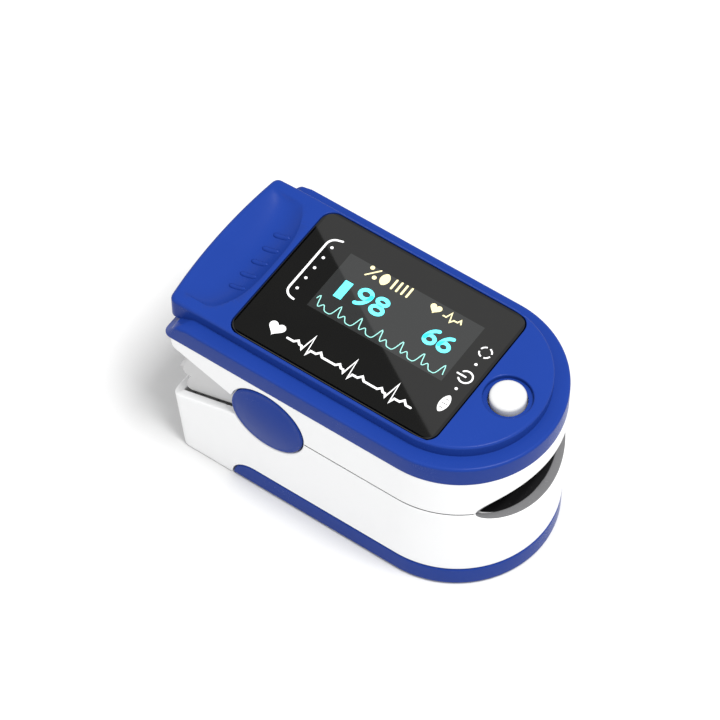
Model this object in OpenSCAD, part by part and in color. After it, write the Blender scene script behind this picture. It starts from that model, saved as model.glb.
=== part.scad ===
// Fingertip pulse oximeter: two sprung jaws that clip over a finger.
// The front, where the finger goes in, faces -Y. Z is up and the part rests on z = 0.

/* [Body] */
// Width of the shells
body_w = 32; // [31.5:0.5:40]
// Length from the front tip to the end of the push tab
body_l = 59; // [58.5:0.5:72]
// Height of the upper jaw above the seam between the jaws
upper_h = 14; // [14:0.5:18]
// Thickness of the white shells
wall = 1.3; // [1:0.1:1.5]
// Height of the open seam between the two jaws
seam_gap = 0.3; // [0.2:0.05:0.5]
// Radius of the shells' rear corners
corner_r = 1.5; // [1:0.1:2]
// How far the shells stop short of the end of the push tab
shell_back = 2.1; // [1.5:0.1:4]
// Lean of the lower shell's rear wall
rear_lean = 6; // [0:0.5:6.5]

/* [Top cover] */
// Height of the blue top cover
lid_h = 6; // [5.6:0.1:6.2]
// Step from the platform down to the rim
rim_drop = 2.1; // [1.5:0.1:2.5]
// Width of the rim around the platform
rim_w = 2.4; // [2:0.1:2.6]
// Thickness of the platform top
top_t = 1.8; // [1.6:0.1:2.2]
// Radius of the curved end of the push tab, seen from above
tab_arc_r = 72; // [40:1:120]
// Depth of the thumb scoop
scoop_depth = 0.9; // [0.4:0.1:1]
// Length of the thumb scoop
scoop_l = 8.4; // [6:0.2:8.8]
// Width of the thumb scoop
scoop_w = 24.4; // [16:0.4:25]

/* [Display] */
// Width of the tinted window
window_w = 26.2; // [24:0.2:26.4]
// Length of the tinted window
window_l = 35.8; // [30:0.2:36]
// Distance from the front tip to the window
window_front = 12.3; // [12:0.1:14]
// Corner radius of the window
window_r = 2.2; // [1:0.1:3]
// Thickness of the window
window_t = 0.9; // [0.7:0.1:1]
// Thickness of the adhesive gasket under the window
gasket_t = 0.2; // [0.1:0.05:0.3]
// Width of the display glass
glass_w = 19.3; // [14:0.1:20]
// Length of the display glass
glass_l = 26.7; // [20:0.1:28]
// Thickness of the display glass
glass_t = 1.4; // [1:0.1:1.5]
// Sideways offset of the display glass
glass_x = 0.6; // [0:0.1:1]

/* [Button] */
// Radius of the button cap
button_r = 2.75; // [2:0.05:3.2]
// Distance from the front tip to the button
button_front = 7.75; // [7.5:0.05:8.5]
// Height of the button above the platform
button_rise = 0.6; // [0.5:0.1:1]
// Travel of the button
button_travel = 0.4; // [0.2:0.05:0.5]
// Gap around the button cap
button_gap = 0.2; // [0.15:0.05:0.3]
// Radius of the sunk ring around the button
ring_r = 3.7; // [3.4:0.1:4]

/* [Finger channel] */
// Width of the mouth
mouth_w = 23.4; // [20:0.2:25]
// Height of the mouth above the seam
mouth_up = 4.5; // [3:0.1:4.6]
// Depth of the mouth below the seam
mouth_down = 3.8; // [3:0.1:5]
// Length of the channel from the front tip
channel_l = 31; // [26:0.5:31.5]
// Thickness of the soft pads at their thinnest
pad_t = 1.5; // [1.5:0.1:1.6]
// Distance from the front tip to the optical sensor
sensor_front = 16.5; // [14:0.5:20]

/* [Hinge] */
// Distance from the end of the push tab to the hinge axis
hinge_back = 19.9; // [19:0.1:21]
// Height of the hinge axis above the seam
hinge_rise = 0.5; // [0.3:0.1:0.8]
// Radius of the hinge pin
pin_r = 1.25; // [1:0.05:1.5]
// Running clearance of the pin in the upper ears
pin_fit = 0.05; // [0.02:0.01:0.1]
// Radius of the ears around the pin
ear_r = 4.6; // [4:0.1:5]
// Radius of the round hinge covers
disc_r = 6.35; // [6:0.05:6.6]
// Height of the hinge covers' dome
disc_dome = 0.55; // [0.3:0.05:0.8]
// Gap around the hinge covers
disc_gap = 0.2; // [0.15:0.05:0.3]
// Slope of the upper shell's edge behind the hinge
gap_up_deg = 20.8; // [20:0.1:24]
// Slope of the lower shell's edge behind the hinge
gap_down_deg = 19.3; // [18:0.1:22]
// Clearance between the nested side plates
plate_gap = 0.3; // [0.25:0.05:0.35]
// Thickness of the upper side plates
plate_up_t = 1; // [0.8:0.1:1.1]
// Thickness of the lower side plates
plate_low_t = 1.2; // [1:0.1:1.3]
// Radius of the torsion spring's wire
spring_wire_r = 0.4; // [0.3:0.05:0.5]
// Radius of the torsion spring's coil
spring_coil_r = 2.9; // [2.5:0.1:3]
// Turns of each torsion spring
spring_turns = 4; // [3:1:6]

/* [Batteries] */
// Diameter of a cell
cell_d = 10.5; // [9.8:0.1:10.6]
// Length of a cell with its positive cap
cell_l = 44.5; // [40:0.5:44.5]
// Length of a compressed contact spring
contact_spring = 1.8; // [1.5:0.1:2]
// Height of the side band of the battery cover
band_h = 4.1; // [3.5:0.1:4.4]
// Thickness of the battery cover's band
band_t = 1.2; // [1:0.1:1.3]
// Thickness of the battery cover's floor
floor_t = 1.4; // [1.2:0.1:1.5]
// Clearance around the battery cover
cover_gap = 0.2; // [0.15:0.05:0.25]
// Distance from the front tip to the rear edge of the battery cover
cover_l = 45.8; // [44:0.1:46.5]

/* [Hidden] */
$fn = 96;
eps = 0.01;
big = 200;
// Clearance between fixed pieces that touch nowhere
snug = 0.1;
board_hole_gap = 0.15;

// Lengthwise places
tip = -body_l / 2;
tail = body_l / 2;
shell_y = tail - shell_back;
front_y = tip + body_w / 2;
hinge_y = tail - hinge_back;

// The stack of the lower jaw, from the battery cover's floor to the seam
cell_rest = 0.5;
roof_gap = 0.3;
roof_t = 0.9;
bed_t = pad_t + 0.1;
cell_r = cell_d / 2;
cell_z = floor_t + cell_rest + cell_r;
roof_z = cell_z + cell_r + roof_gap;
bed_z = roof_z + roof_t;
seam_z = bed_z + bed_t + mouth_down;
hinge_z = seam_z + hinge_rise;
apex_z = seam_z - hinge_rise;

// The stack of the upper jaw, from the seam to the platform
deck_t = 1;
deck_z = seam_z + mouth_up + pad_t;
body_h = seam_z + upper_h;
lid_z = body_h - lid_h;
rim_z = body_h - rim_drop;
lid_wall = 1.5;
rim_y = tail - 1.7;
rim_lean = 21;
top_under_z = body_h - top_t;
board_t = 1;
board_z = lid_z + 0.4;
board_top_z = board_z + board_t;
ledge_z = body_h - window_t - gasket_t;
ledge_w = 1;
glass_z = ledge_z - 0.1 - glass_t;

// Widths of the nested side plates, from the shell inwards
shell_x = body_w / 2 - wall;
up_out = shell_x - plate_gap;
up_in = up_out - plate_up_t;
low_out = up_in - plate_gap;
low_in = low_out - plate_low_t;
fit_in = wall + 0.15;
board_x = low_in - 0.3;

// Side plates: how far they reach behind the hinge axis, and where they start
plate_l = 15.2;
bay_side_front = front_y - 9;

// Battery bay
cell_x = cell_r + 0.15;
cap_r = 1.9;
cap_h = 0.8;
contact_t = 0.3;
bay_wall = 0.8;
bay_front = tip + 6.6;
cell_front = bay_front + contact_t;
cell_back = cell_front + contact_spring + cell_l;
bay_back = cell_back + contact_t;
contact_h = 7;
coil_wire_r = 0.25;
coil_turns = 2;
coil_r = 3.2;
coil_end_r = 1.6;

// Battery cover and the curb that it slides on
curb_in = band_t + cover_gap;
curb_t = 1;
curb_h = band_h + 1.2;
rail_h = 0.8;
rail_d = 0.35;
rail_z = floor_t + 1;
latch_w = 3;
grip_n = 4;
grip_w = 10;
grip_l = 0.8;
grip_pitch = 1.6;
grip_depth = 0.35;
grip_front = tip + 9;
rear_floor_y = tip + cover_l + cover_gap;

// Window and display
window_y = tip + window_front + window_l / 2;
window_gap = 0.05;
flex_w = 12;
flex_t = 0.2;
glass_y = window_y - 1.2;
chip_w = 7;
chip_t = 1;
part_t = 0.6;
connector_w = 8;
connector_l = 3;
connector_t = 1.4;

// Button and switch
button_y = tip + button_front;
ring_depth = 0.5;
flange_r = 3.5;
flange_t = 0.6;
plunger_r = 1;
plunger_z = top_under_z - 0.2 - flange_t;
switch_w = 4.5;
switch_top_z = plunger_z - 2 * button_travel;
dome_h = 0.5;

// Screws
screw_r = 0.95;
screw_head_r = 1.7;
screw_head_h = 1;
screw_l = 4.6;
frame_screw_l = 4;
screw_collar = 0.8;
screw_slot = [2, 0.4, 0.5];
boss_r = 1.9;
front_screw = [7.4, tip + 9.6];
rear_screw = [8.5, tail - 8.5];
case_screw_places = [for (p = [front_screw, rear_screw], side = [-1, 1]) [side * p[0], p[1]]];
case_seat_z = board_z - 1.2;
frame_screw_y = tip + 3.9;

// Sensor
sensor_y = tip + sensor_front;
sensor_r = 2.5;
sensor_board_t = 0.5;
sensor_board_w = 8;
sensor_board_l = 23.5;
sensor_board_front = sensor_y - 4.8;
photodiode_w = 3;
photodiode_t = 0.6;
lens_t = 0.4;
emitter_w = 10;
emitter_l = 7;
emitter_t = 0.6;
led = [1, 1.2, 0.4];
led_x = 0.9;
pad_end = tip + channel_l + 2.5;

// Ribbon that crosses the hinge
ribbon_w = 6;
ribbon_t = 0.2;

// Lanyard lug
lug_r = 1.7;
lug_hole_r = 0.9;
lug_t = 2;
lug_x = 10;
lug_z = 4;

function unit(v) = v / norm(v);
function eye_points(h) = [for (a = [0:6:180]) [mouth_w / 2 * cos(a), h * sin(a)]];
function cap_sphere_r(r, h) = (r * r + h * h) / (2 * h);

// Plan of the body, moved in from the outer face; stop is the y of its rear end
module plan(inset = 0, stop = shell_y) {
    r = max(corner_r - inset, 0.3);
    half = body_w / 2 - inset;
    end = stop - inset;
    translate([0, front_y])
        circle(r = half);
    translate([-half, front_y])
        square([2 * half, end - r - front_y]);
    translate([-half + r, front_y])
        square([2 * (half - r), end - front_y]);
    for (side = [-1, 1])
        translate([side * (half - r), end - r])
            circle(r = r);
}

module slab(z0, z1, inset = 0, stop = shell_y) {
    translate([0, 0, z0])
        linear_extrude(z1 - z0)
            plan(inset, stop);
}

module box(x0, x1, y0, y1, z0, z1) {
    translate([x0, y0, z0])
        cube([x1 - x0, y1 - y0, z1 - z0]);
}

module both_sides() {
    children();
    mirror([1, 0, 0])
        children();
}

// Stands a profile drawn in y and z upright and gives it a width along x
module across(x0, x1) {
    translate([x0, 0, 0])
        rotate([90, 0, 90])
            linear_extrude(x1 - x0)
                children();
}

module rod_x(r, x0, x1, y = hinge_y, z = hinge_z) {
    translate([x0, y, z])
        rotate([0, 90, 0])
            cylinder(r = r, h = x1 - x0);
}

// The finger's way in, above the seam with side = 1 and below it with side = -1
module eye(side, length) {
    h = side > 0 ? mouth_up : mouth_down;
    translate([0, tip - 1, seam_z])
        rotate([90, 0, 0])
            mirror([0, 0, 1])
                linear_extrude(length + 1)
                    union() {
                        polygon([for (p = eye_points(h)) [p[0], side * p[1]]]);
                        translate([-mouth_w / 2, side > 0 ? -1 : 0])
                            square([mouth_w, 1]);
                    }
}

// Everything behind the hinge above (side = 1) or below (side = -1) a shell's sloping edge
module wedge(side, deg) {
    across(-big / 2, big / 2)
        polygon([
            [hinge_y, apex_z],
            [hinge_y + big / 2, apex_z - side * big / 2 * tan(deg)],
            [hinge_y + big / 2, apex_z + side * big / 2],
            [hinge_y, apex_z + side * big / 2]
        ]);
}

// Everything behind the lower shell's leaning rear wall, moved in from its outer face
module behind_rear(inset = 0) {
    translate([0, shell_y - inset, seam_z - 6.5])
        rotate([-rear_lean, 0, 0])
            box(-big / 2, big / 2, 0, big / 4, -big / 4, big / 4);
}

// A disc with a domed end, standing on z = 0
module domed_disc(r, h, dome) {
    dome_r = cap_sphere_r(r, dome);
    rotate_extrude()
        intersection() {
            translate([0, h + dome - dome_r])
                circle(r = dome_r, $fn = 360);
            square([r, h + dome]);
        }
}

// A round wire along a path; ref is a direction that the path never follows
module wire(path, r, ref, sides = 8) {
    n = len(path);
    rings = [
        for (i = [0:n - 1])
            let (
                along = unit(path[min(i + 1, n - 1)] - path[max(i - 1, 0)]),
                side = unit(cross(along, ref)),
                up = cross(side, along)
            )
            for (k = [0:sides - 1])
                path[i] + r * (cos(360 * k / sides) * side + sin(360 * k / sides) * up)
    ];
    walls = [
        for (i = [0:n - 2], k = [0:sides - 1])
            let (a = i * sides + k, b = i * sides + (k + 1) % sides)
            [a, b, b + sides, a + sides]
    ];
    polyhedron(
        points = rings,
        faces = concat(
            [[for (k = [sides - 1:-1:0]) k]],
            walls,
            [[for (k = [0:sides - 1]) (n - 1) * sides + k]]
        ),
        convexity = 6
    );
}

module screw(length) {
    difference() {
        union() {
            cylinder(r = screw_head_r, h = screw_head_h);
            translate([0, 0, screw_head_h - eps])
                cylinder(r = screw_r, h = length + eps);
        }
        for (turn = [0, 90])
            rotate([0, 0, turn])
                translate([-screw_slot[0] / 2, -screw_slot[1] / 2, -eps])
                    cube(screw_slot);
    }
}

/* Lower jaw */

// Side view of the battery cover, grown by a clearance
module band_profile(grow = 0) {
    nose = band_h + grow;
    intersection() {
        union() {
            translate([tip - 2, -1])
                square([cover_l - band_h + 2, nose + 1]);
            translate([tip + cover_l - band_h, 0])
                circle(r = nose);
        }
        translate([tip - 2, -1])
            square([body_l + 4, nose + 1]);
    }
}

module lower_shell() {
    difference() {
        union() {
            difference() {
                slab(0, seam_z - seam_gap / 2);
                difference() {
                    slab(-1, seam_z + 1, wall);
                    behind_rear(wall);
                }
            }
            difference() {
                slab(0, curb_h);
                slab(-1, curb_h + 1, curb_in + curb_t);
            }
            intersection() {
                slab(0, floor_t);
                box(-big / 2, big / 2, rear_floor_y, tail, 0, floor_t);
            }
            translate([0, frame_screw_y, curb_h - 1])
                cylinder(r = boss_r, h = roof_z - 1 - curb_h + 1);
            box(-0.6, 0.6, tip + wall - 0.2, frame_screw_y, curb_h - 1, roof_z - 1);
        }
        behind_rear();
        difference() {
            across(-big / 2, big / 2)
                band_profile(cover_gap);
            slab(-2, curb_h, curb_in, tail + 5);
        }
        slab(-1, floor_t + cover_gap, -1, tip + cover_l + cover_gap - 1);
        both_sides()
            box(body_w / 2 - curb_in - rail_d - 0.1, body_w / 2 - curb_in + 1, tip, tip + cover_l - band_h + 0.5,
                rail_z - 0.2, rail_z + rail_h + 0.2);
        wedge(1, gap_down_deg);
        rod_x(disc_r + disc_gap, -big / 2, big / 2);
        eye(-1, channel_l / 2);
        translate([0, frame_screw_y, roof_z - 1 - screw_l])
            cylinder(r = screw_r, h = screw_l + 1);
    }
}

module lower_housing() {
    color("white")
    union() {
        lower_shell();
        lanyard_lug();
    }
}

// Lug with a hole for a lanyard's loop, on the rear wall
module lanyard_lug() {
    wall_y = shell_y - wall;
    difference() {
        union() {
            translate([lug_x, tail - lug_r, lug_z])
                cylinder(r = lug_r, h = lug_t);
            box(lug_x - lug_r, lug_x + lug_r, wall_y, tail - lug_r, lug_z, lug_z + lug_t);
        }
        translate([lug_x, tail - lug_r, lug_z - 1])
            cylinder(r = lug_hole_r, h = lug_t + 2);
    }
}

module lower_plate_profile() {
    translate([hinge_y, hinge_z])
        union() {
            circle(r = ear_r);
            polygon([
                [-4.2, bed_z - hinge_z - 0.5], [-4.2, 0], [0, 1.8], [3.9, 1.8], [14.6, 4.4], [16, 1.7], [18.1, -3.8],
                [16.4, -3.1], [plate_l, -7.4], [plate_l, bed_z - hinge_z - 0.5]
            ]);
        }
}

module lower_frame() {
    plate_back = hinge_y + plate_l;
    wall_foot = floor_t + cover_gap + snug;
    color("gainsboro")
    difference() {
        union() {
            intersection() {
                union() {
                    box(-low_out, low_out, tip, plate_back, roof_z, bed_z);
                    both_sides()
                        box(low_in, low_out, bay_side_front, plate_back, wall_foot, bed_z);
                    box(-low_out, low_out, bay_front - bay_wall, bay_front, wall_foot, bed_z);
                    box(-low_out, low_out, bay_back, bay_back + bay_wall, wall_foot, bed_z);
                    translate([0, frame_screw_y, roof_z - 0.9])
                        cylinder(r = screw_head_r + screw_collar, h = 1);
                }
                union() {
                    slab(curb_h + 0.1, seam_z, fit_in);
                    slab(0, curb_h + 1, curb_in + curb_t + 0.15);
                }
            }
            both_sides()
                across(low_in, low_out)
                    lower_plate_profile();
        }
        rod_x(pin_r, -big / 2, big / 2);
        translate([0, frame_screw_y, bed_z - screw_head_h])
            cylinder(r = screw_head_r + snug, h = screw_head_h + 1);
        translate([0, frame_screw_y, roof_z - 2])
            cylinder(r = screw_r + snug, h = 3);
    }
}

module frame_screw() {
    color("silver")
    translate([0, frame_screw_y, bed_z])
        mirror([0, 0, 1])
            screw(frame_screw_l);
}

module finger_bed(side, z0, z1) {
    difference() {
        intersection() {
            slab(z0, z1, fit_in);
            box(-big / 2, big / 2, tip, pad_end, z0, z1);
        }
        eye(side, channel_l);
    }
}

module lower_finger_pad() {
    color([0.06, 0.06, 0.07])
    difference() {
        finger_bed(-1, bed_z, seam_z - seam_gap);
        box(-sensor_board_w / 2 - snug, sensor_board_w / 2 + snug, sensor_board_front - 2 * snug, pad_end + 1,
            bed_z - 1, bed_z + sensor_board_t + snug);
        translate([0, sensor_y, bed_z - 1])
            cylinder(r = sensor_r, h = 5);
        translate([0, frame_screw_y, bed_z - 1])
            cylinder(r = screw_head_r, h = 1.2);
    }
}

module sensor_board() {
    color("darkgreen")
    box(-sensor_board_w / 2, sensor_board_w / 2, sensor_board_front, sensor_board_front + sensor_board_l, bed_z,
        bed_z + sensor_board_t);
}

module photodiode() {
    z = bed_z + sensor_board_t;
    color("dimgray")
    translate([-photodiode_w / 2, sensor_y - photodiode_w / 2, z])
        cube([photodiode_w, photodiode_w, photodiode_t]);
}

module sensor_window() {
    z = bed_z + bed_t;
    color("lightcyan", 0.6)
    translate([0, sensor_y, z - lens_t])
        cylinder(r = sensor_r, h = lens_t);
}

// One cell along y; the positive cap points to the front with toward = -1
module cell(x, toward) {
    middle = (cell_front + cell_back) / 2;
    shift = contact_spring / 2 * toward;
    color("darkorange")
    translate([x, middle + shift, cell_z])
        rotate([-90 * toward, 0, 0])
            union() {
                translate([0, 0, -cell_l / 2])
                    cylinder(r = cell_r, h = cell_l - cap_h);
                translate([0, 0, cell_l / 2 - cap_h - eps])
                    cylinder(r = cap_r, h = cap_h + eps);
            }
}

module battery_left() {
    cell(-cell_x, -1);
}

module battery_right() {
    cell(cell_x, 1);
}

// Cone of spring wire between a contact plate and a cell's flat end
module contact_coil(x, y0, y1) {
    way = y1 > y0 ? 1 : -1;
    rise = abs(y1 - y0) - 2 * coil_wire_r;
    wire([
        for (i = [0:12 * coil_turns])
            let (t = i / (12 * coil_turns), r = coil_r + (coil_end_r - coil_r) * t)
            [x + r * cos(30 * i), y0 + way * (coil_wire_r + rise * t), cell_z + r * sin(30 * i)]
    ], coil_wire_r, [0, 1, 0]);
}

module contact_plate(x0, x1, y) {
    box(x0, x1, y, y + contact_t, cell_z - contact_h / 2, cell_z + contact_h / 2);
}

module front_contact() {
    color("silver") {
        contact_plate(-cell_x - cell_r + 1, cell_x + cell_r - 1, bay_front);
        contact_coil(cell_x, cell_front, cell_front + contact_spring);
    }
}

module rear_contact_negative() {
    color("silver") {
        contact_plate(-cell_x - contact_h / 2, -cell_x + contact_h / 2, cell_back);
        contact_coil(-cell_x, cell_back, cell_back - contact_spring);
    }
}

module rear_contact_positive() {
    color("silver")
    contact_plate(cell_x - contact_h / 2, cell_x + contact_h / 2, cell_back);
}

module hinge_pin() {
    color("silver")
    rod_x(pin_r, -up_out + 0.1, up_out - 0.1);
}

// A torsion spring: a leg on the lower frame's roof, the coil around the pin, and a leg under the deck
module torsion_spring(side) {
    leg = 10.5;
    pitch = 2 * spring_wire_r + 0.06;
    start_x = 5;
    low_end = bed_z + spring_wire_r - hinge_z;
    high_end = deck_z - spring_wire_r - hinge_z;
    steps = 16;
    total = steps * spring_turns + steps / 2;
    coil = [
        for (i = [0:total])
            let (a = -90 - 360 * i / steps)
            [start_x + pitch * i / steps, spring_coil_r * cos(a), spring_coil_r * sin(a)]
    ];
    last = coil[total];
    path = concat(
        [[start_x, leg, low_end], [start_x, leg - 1, low_end]],
        coil,
        [[last[0], leg - 1, high_end], [last[0], leg, high_end]]
    );
    color("slategray")
    translate([0, hinge_y, hinge_z])
        wire([for (p = path) [side * p[0], p[1], p[2]]], spring_wire_r, [side, 0, 0]);
}

module torsion_spring_left() {
    torsion_spring(-1);
}

module torsion_spring_right() {
    torsion_spring(1);
}

// Flat ribbon from the sensor board, behind the pin, to the underside of the main board
module link_ribbon() {
    bend = (deck_z - bed_z) / 2 - 0.8;
    mid_z = (deck_z + bed_z) / 2;
    start = sensor_board_front + sensor_board_l;
    turn_y = hinge_y - 0.6;
    low = mid_z - bend;
    path = concat(
        [[start, bed_z + ribbon_t / 2], [start + 1.5, bed_z + ribbon_t / 2]],
        [for (a = [-90:10:50]) [turn_y + bend * cos(a), mid_z + bend * sin(a)]],
        [[turn_y + bend * cos(50) - 0.6, deck_z - 0.2], [turn_y + bend * cos(50) - 0.6, board_z]]
    );
    n = len(path);
    side = [
        for (i = [0:n - 1])
            let (along = unit(path[min(i + 1, n - 1)] - path[max(i - 1, 0)]))
            ribbon_t / 2 * [-along[1], along[0]]
    ];
    color("orange")
    across(-ribbon_w / 2, ribbon_w / 2)
        polygon(concat([for (i = [0:n - 1]) path[i] + side[i]], [for (i = [n - 1:-1:0]) path[i] - side[i]]));
}

module battery_cover() {
    color("royalblue")
    difference() {
        union() {
            difference() {
                intersection() {
                    slab(0, band_h, 0, tail);
                    across(-big / 2, big / 2)
                        band_profile();
                }
                slab(floor_t, band_h + 1, band_t, tail);
            }
            both_sides()
                box(body_w / 2 - band_t - rail_d, body_w / 2 - band_t + 0.1, front_y + 2, tip + cover_l - band_h - 1,
                    rail_z, rail_z + rail_h);
            box(-latch_w / 2, latch_w / 2, tip + cover_l - 4, tip + cover_l - 1, floor_t - eps, floor_t + 1);
            box(-latch_w / 2, latch_w / 2, tip + cover_l - 2, tip + cover_l + 1.6, floor_t + 0.2, floor_t + 1);
        }
        for (i = [0:grip_n - 1])
            box(-grip_w / 2, grip_w / 2, grip_front + grip_pitch * i, grip_front + grip_pitch * i + grip_l, -1,
                grip_depth);
    }
}

/* Upper jaw */

module upper_housing() {
    color("white")
    difference() {
        slab(seam_z + seam_gap / 2, lid_z);
        slab(0, lid_z + 1, wall);
        wedge(-1, gap_up_deg);
        rod_x(disc_r + disc_gap, -big / 2, big / 2);
        eye(1, channel_l / 2);
    }
}

module upper_plate_profile() {
    top = deck_z + deck_t - hinge_z;
    translate([hinge_y, hinge_z])
        union() {
            circle(r = ear_r);
            polygon([
                [-4.2, top], [-4.2, 0], [0, -2], [4.2, -2.2], [15.1, -6.1], [15.8, -5.9], [15.8, -4.5], [15.1, -2.7],
                [16.2, -2.5], [16.5, -1.7], [16.1, -0.1], [15, 2.6], [14.6, top]
            ]);
        }
}

module upper_frame() {
    narrow_y = hinge_y + 4.9;
    deck_end = hinge_y + plate_l + snug;
    rib_l = 4;
    color("gainsboro")
    difference() {
        union() {
            intersection() {
                slab(deck_z, deck_z + deck_t, fit_in);
                union() {
                    box(-big / 2, big / 2, tip, narrow_y, deck_z, deck_z + deck_t);
                    box(-board_x, board_x, narrow_y - 1, deck_end, deck_z, deck_z + deck_t);
                }
            }
            both_sides() {
                across(up_in, up_out)
                    upper_plate_profile();
                box(up_out - 0.1, shell_x, deck_end - 2 - rib_l, deck_end - 2, deck_z, deck_z + deck_t);
            }
            for (p = case_screw_places)
                translate([p[0], p[1], deck_z])
                    cylinder(r = screw_head_r + screw_collar, h = board_z - deck_z);
        }
        rod_x(pin_r + pin_fit, -big / 2, big / 2);
        for (p = case_screw_places)
            translate([p[0], p[1], deck_z - 1]) {
                cylinder(r = screw_head_r + snug, h = case_seat_z - deck_z + 1);
                cylinder(r = screw_r + snug, h = board_z - deck_z + 2);
            }
        box(-ribbon_w / 2 - 0.5, ribbon_w / 2 + 0.5, hinge_y, hinge_y + 6, deck_z - 1, deck_z + deck_t + 1);
        translate([0, sensor_y, deck_z - 1])
            cylinder(r = 1.5, h = deck_t + 2);
    }
}

module top_cover() {
    scoop_y = rim_y - scoop_l / 2;
    scoop_r = cap_sphere_r(scoop_l / 2, scoop_depth);
    color("royalblue")
    difference() {
        union() {
            difference() {
                union() {
                    difference() {
                        slab(lid_z, rim_z, 0, rim_y);
                        translate([0, rim_y, lid_z])
                            rotate([rim_lean, 0, 0])
                                box(-big / 2, big / 2, 0, 10, 0.6, 10);
                    }
                    intersection() {
                        slab(rim_z - 0.2, body_h, rim_w, tail + rim_w);
                        translate([0, tail - tab_arc_r, 0])
                            cylinder(r = tab_arc_r, h = big, $fn = 360);
                    }
                }
                slab(lid_z - 1, rim_z - lid_wall, lid_wall, rim_y);
                slab(lid_z - 1, top_under_z, rim_w + lid_wall, rim_y + rim_w);
            }
            for (p = case_screw_places)
                translate([p[0], p[1], board_top_z])
                    cylinder(r = boss_r, h = top_under_z - board_top_z + 0.1);
        }
        translate([0, window_y, ledge_z])
            rounded_plate(window_w, window_l, window_r, 5);
        translate([0, window_y, lid_z])
            rounded_plate(window_w - 2 * ledge_w, window_l - 2 * ledge_w, window_r - ledge_w + 0.4, 10);
        translate([0, button_y, lid_z])
            cylinder(r = button_r + button_gap, h = 10);
        translate([0, button_y, body_h - ring_depth])
            cylinder(r = ring_r, h = 5);
        rod_x(scoop_r, -scoop_w / 2, scoop_w / 2, scoop_y, body_h - scoop_depth + scoop_r);
        for (p = case_screw_places)
            translate([p[0], p[1], board_top_z - 1])
                cylinder(r = screw_r, h = case_seat_z + screw_l + 0.1 - board_top_z + 1);
    }
}

// A flat plate with four round corners, centred in plan
module rounded_plate(w, l, r, t) {
    translate([-w / 2, -l / 2 + r, 0])
        cube([w, l - 2 * r, t]);
    translate([-w / 2 + r, -l / 2, 0])
        cube([w - 2 * r, l, t]);
    for (x = [-1, 1], y = [-1, 1])
        translate([x * (w / 2 - r), y * (l / 2 - r), 0])
            cylinder(r = r, h = t);
}

module display_window() {
    color([0.1, 0.1, 0.11])
    translate([0, window_y, body_h - window_t])
        rounded_plate(window_w - 2 * window_gap, window_l - 2 * window_gap, window_r, window_t);
}

module window_gasket() {
    color("black")
    difference() {
        translate([0, window_y, ledge_z])
            rounded_plate(window_w - 0.3, window_l - 0.3, window_r, gasket_t);
        translate([0, window_y, ledge_z - 1])
            rounded_plate(window_w - 2 * ledge_w, window_l - 2 * ledge_w, window_r - ledge_w + 0.4, 2);
    }
}

module display_glass() {
    color("dimgray")
    translate([glass_x - glass_w / 2, glass_y - glass_l / 2, glass_z])
        cube([glass_w, glass_l, glass_t]);
}

// Film that leaves the edge of the glass and folds under it to the board
module display_flex() {
    bend = (glass_z - board_top_z) / 2;
    mid_z = (glass_z + board_top_z) / 2;
    edge = glass_x - glass_w / 2;
    color("darkorange")
    translate([0, glass_y + flex_w / 2, 0])
        rotate([90, 0, 0])
            linear_extrude(flex_w)
                union() {
                    difference() {
                        translate([edge - 0.5, mid_z])
                            circle(r = bend);
                        translate([edge - 0.5, mid_z])
                            circle(r = bend - flex_t);
                        translate([edge - 0.5, mid_z - bend - 1])
                            square([bend + 1, 2 * bend + 2]);
                    }
                    translate([edge - 0.5 - eps, glass_z - flex_t])
                        square([1.5, flex_t]);
                    translate([edge - 0.5 - eps, board_top_z])
                        square([3, flex_t]);
                }
}

module main_board() {
    color("seagreen")
    difference() {
        intersection() {
            slab(board_z, board_top_z, body_w / 2 - board_x, tail);
            box(-big / 2, big / 2, tip, tail - 5.5, board_z, board_top_z);
        }
        for (p = case_screw_places)
            translate([p[0], p[1], board_z - 1])
                cylinder(r = screw_r + board_hole_gap, h = board_t + 2);
    }
}

module processor_chip() {
    color([0.12, 0.12, 0.13])
    translate([-chip_w / 2, window_y - 6, board_top_z])
        cube([chip_w, chip_w, chip_t]);
}

module board_components() {
    color("tan") {
        for (i = [0:4])
            translate([5.2, window_y - 8 + 3.4 * i, board_top_z])
                cube([1, 1.8, part_t]);
        for (i = [0:2])
            translate([-7 + 3 * i, window_y + 5, board_top_z])
                cube([1.6, 1, part_t]);
    }
    color("silver")
    translate([2, window_y + 10, board_top_z])
        cylinder(r = 1.6, h = 1.2);
    color("whitesmoke")
    translate([-connector_w / 2, tail - 12, board_top_z])
        cube([connector_w, connector_l, connector_t]);
}

module tact_switch() {
    color("dimgray")
    translate([0, button_y, 0])
        difference() {
            box(-switch_w / 2, switch_w / 2, -switch_w / 2, switch_w / 2, board_top_z, switch_top_z);
            translate([0, 0, board_top_z + 0.1])
                cylinder(r = plunger_r + 0.05, h = 5);
        }
}

module emitter_board() {
    color("darkgreen")
    translate([-emitter_w / 2, sensor_y - emitter_l / 2, deck_z - emitter_t])
        cube([emitter_w, emitter_l, emitter_t]);
}

module emitter_leds() {
    color("mistyrose")
    for (side = [-1, 1])
        translate([side * led_x - led[0] / 2, sensor_y - led[1] / 2, deck_z - emitter_t - led[2]])
            cube(led);
}

module emitter_window() {
    color("lightcyan", 0.6)
    translate([0, sensor_y, deck_z - pad_t])
        cylinder(r = sensor_r, h = lens_t);
}

module upper_finger_pad() {
    color([0.06, 0.06, 0.07])
    difference() {
        finger_bed(1, seam_z + seam_gap, deck_z);
        translate([-emitter_w / 2 - snug, sensor_y - emitter_l / 2 - snug, deck_z - emitter_t - snug])
            cube([emitter_w + 2 * snug, emitter_l + 2 * snug, emitter_t + 1]);
        translate([0, sensor_y, deck_z - 4])
            cylinder(r = sensor_r, h = 5);
    }
}

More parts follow.
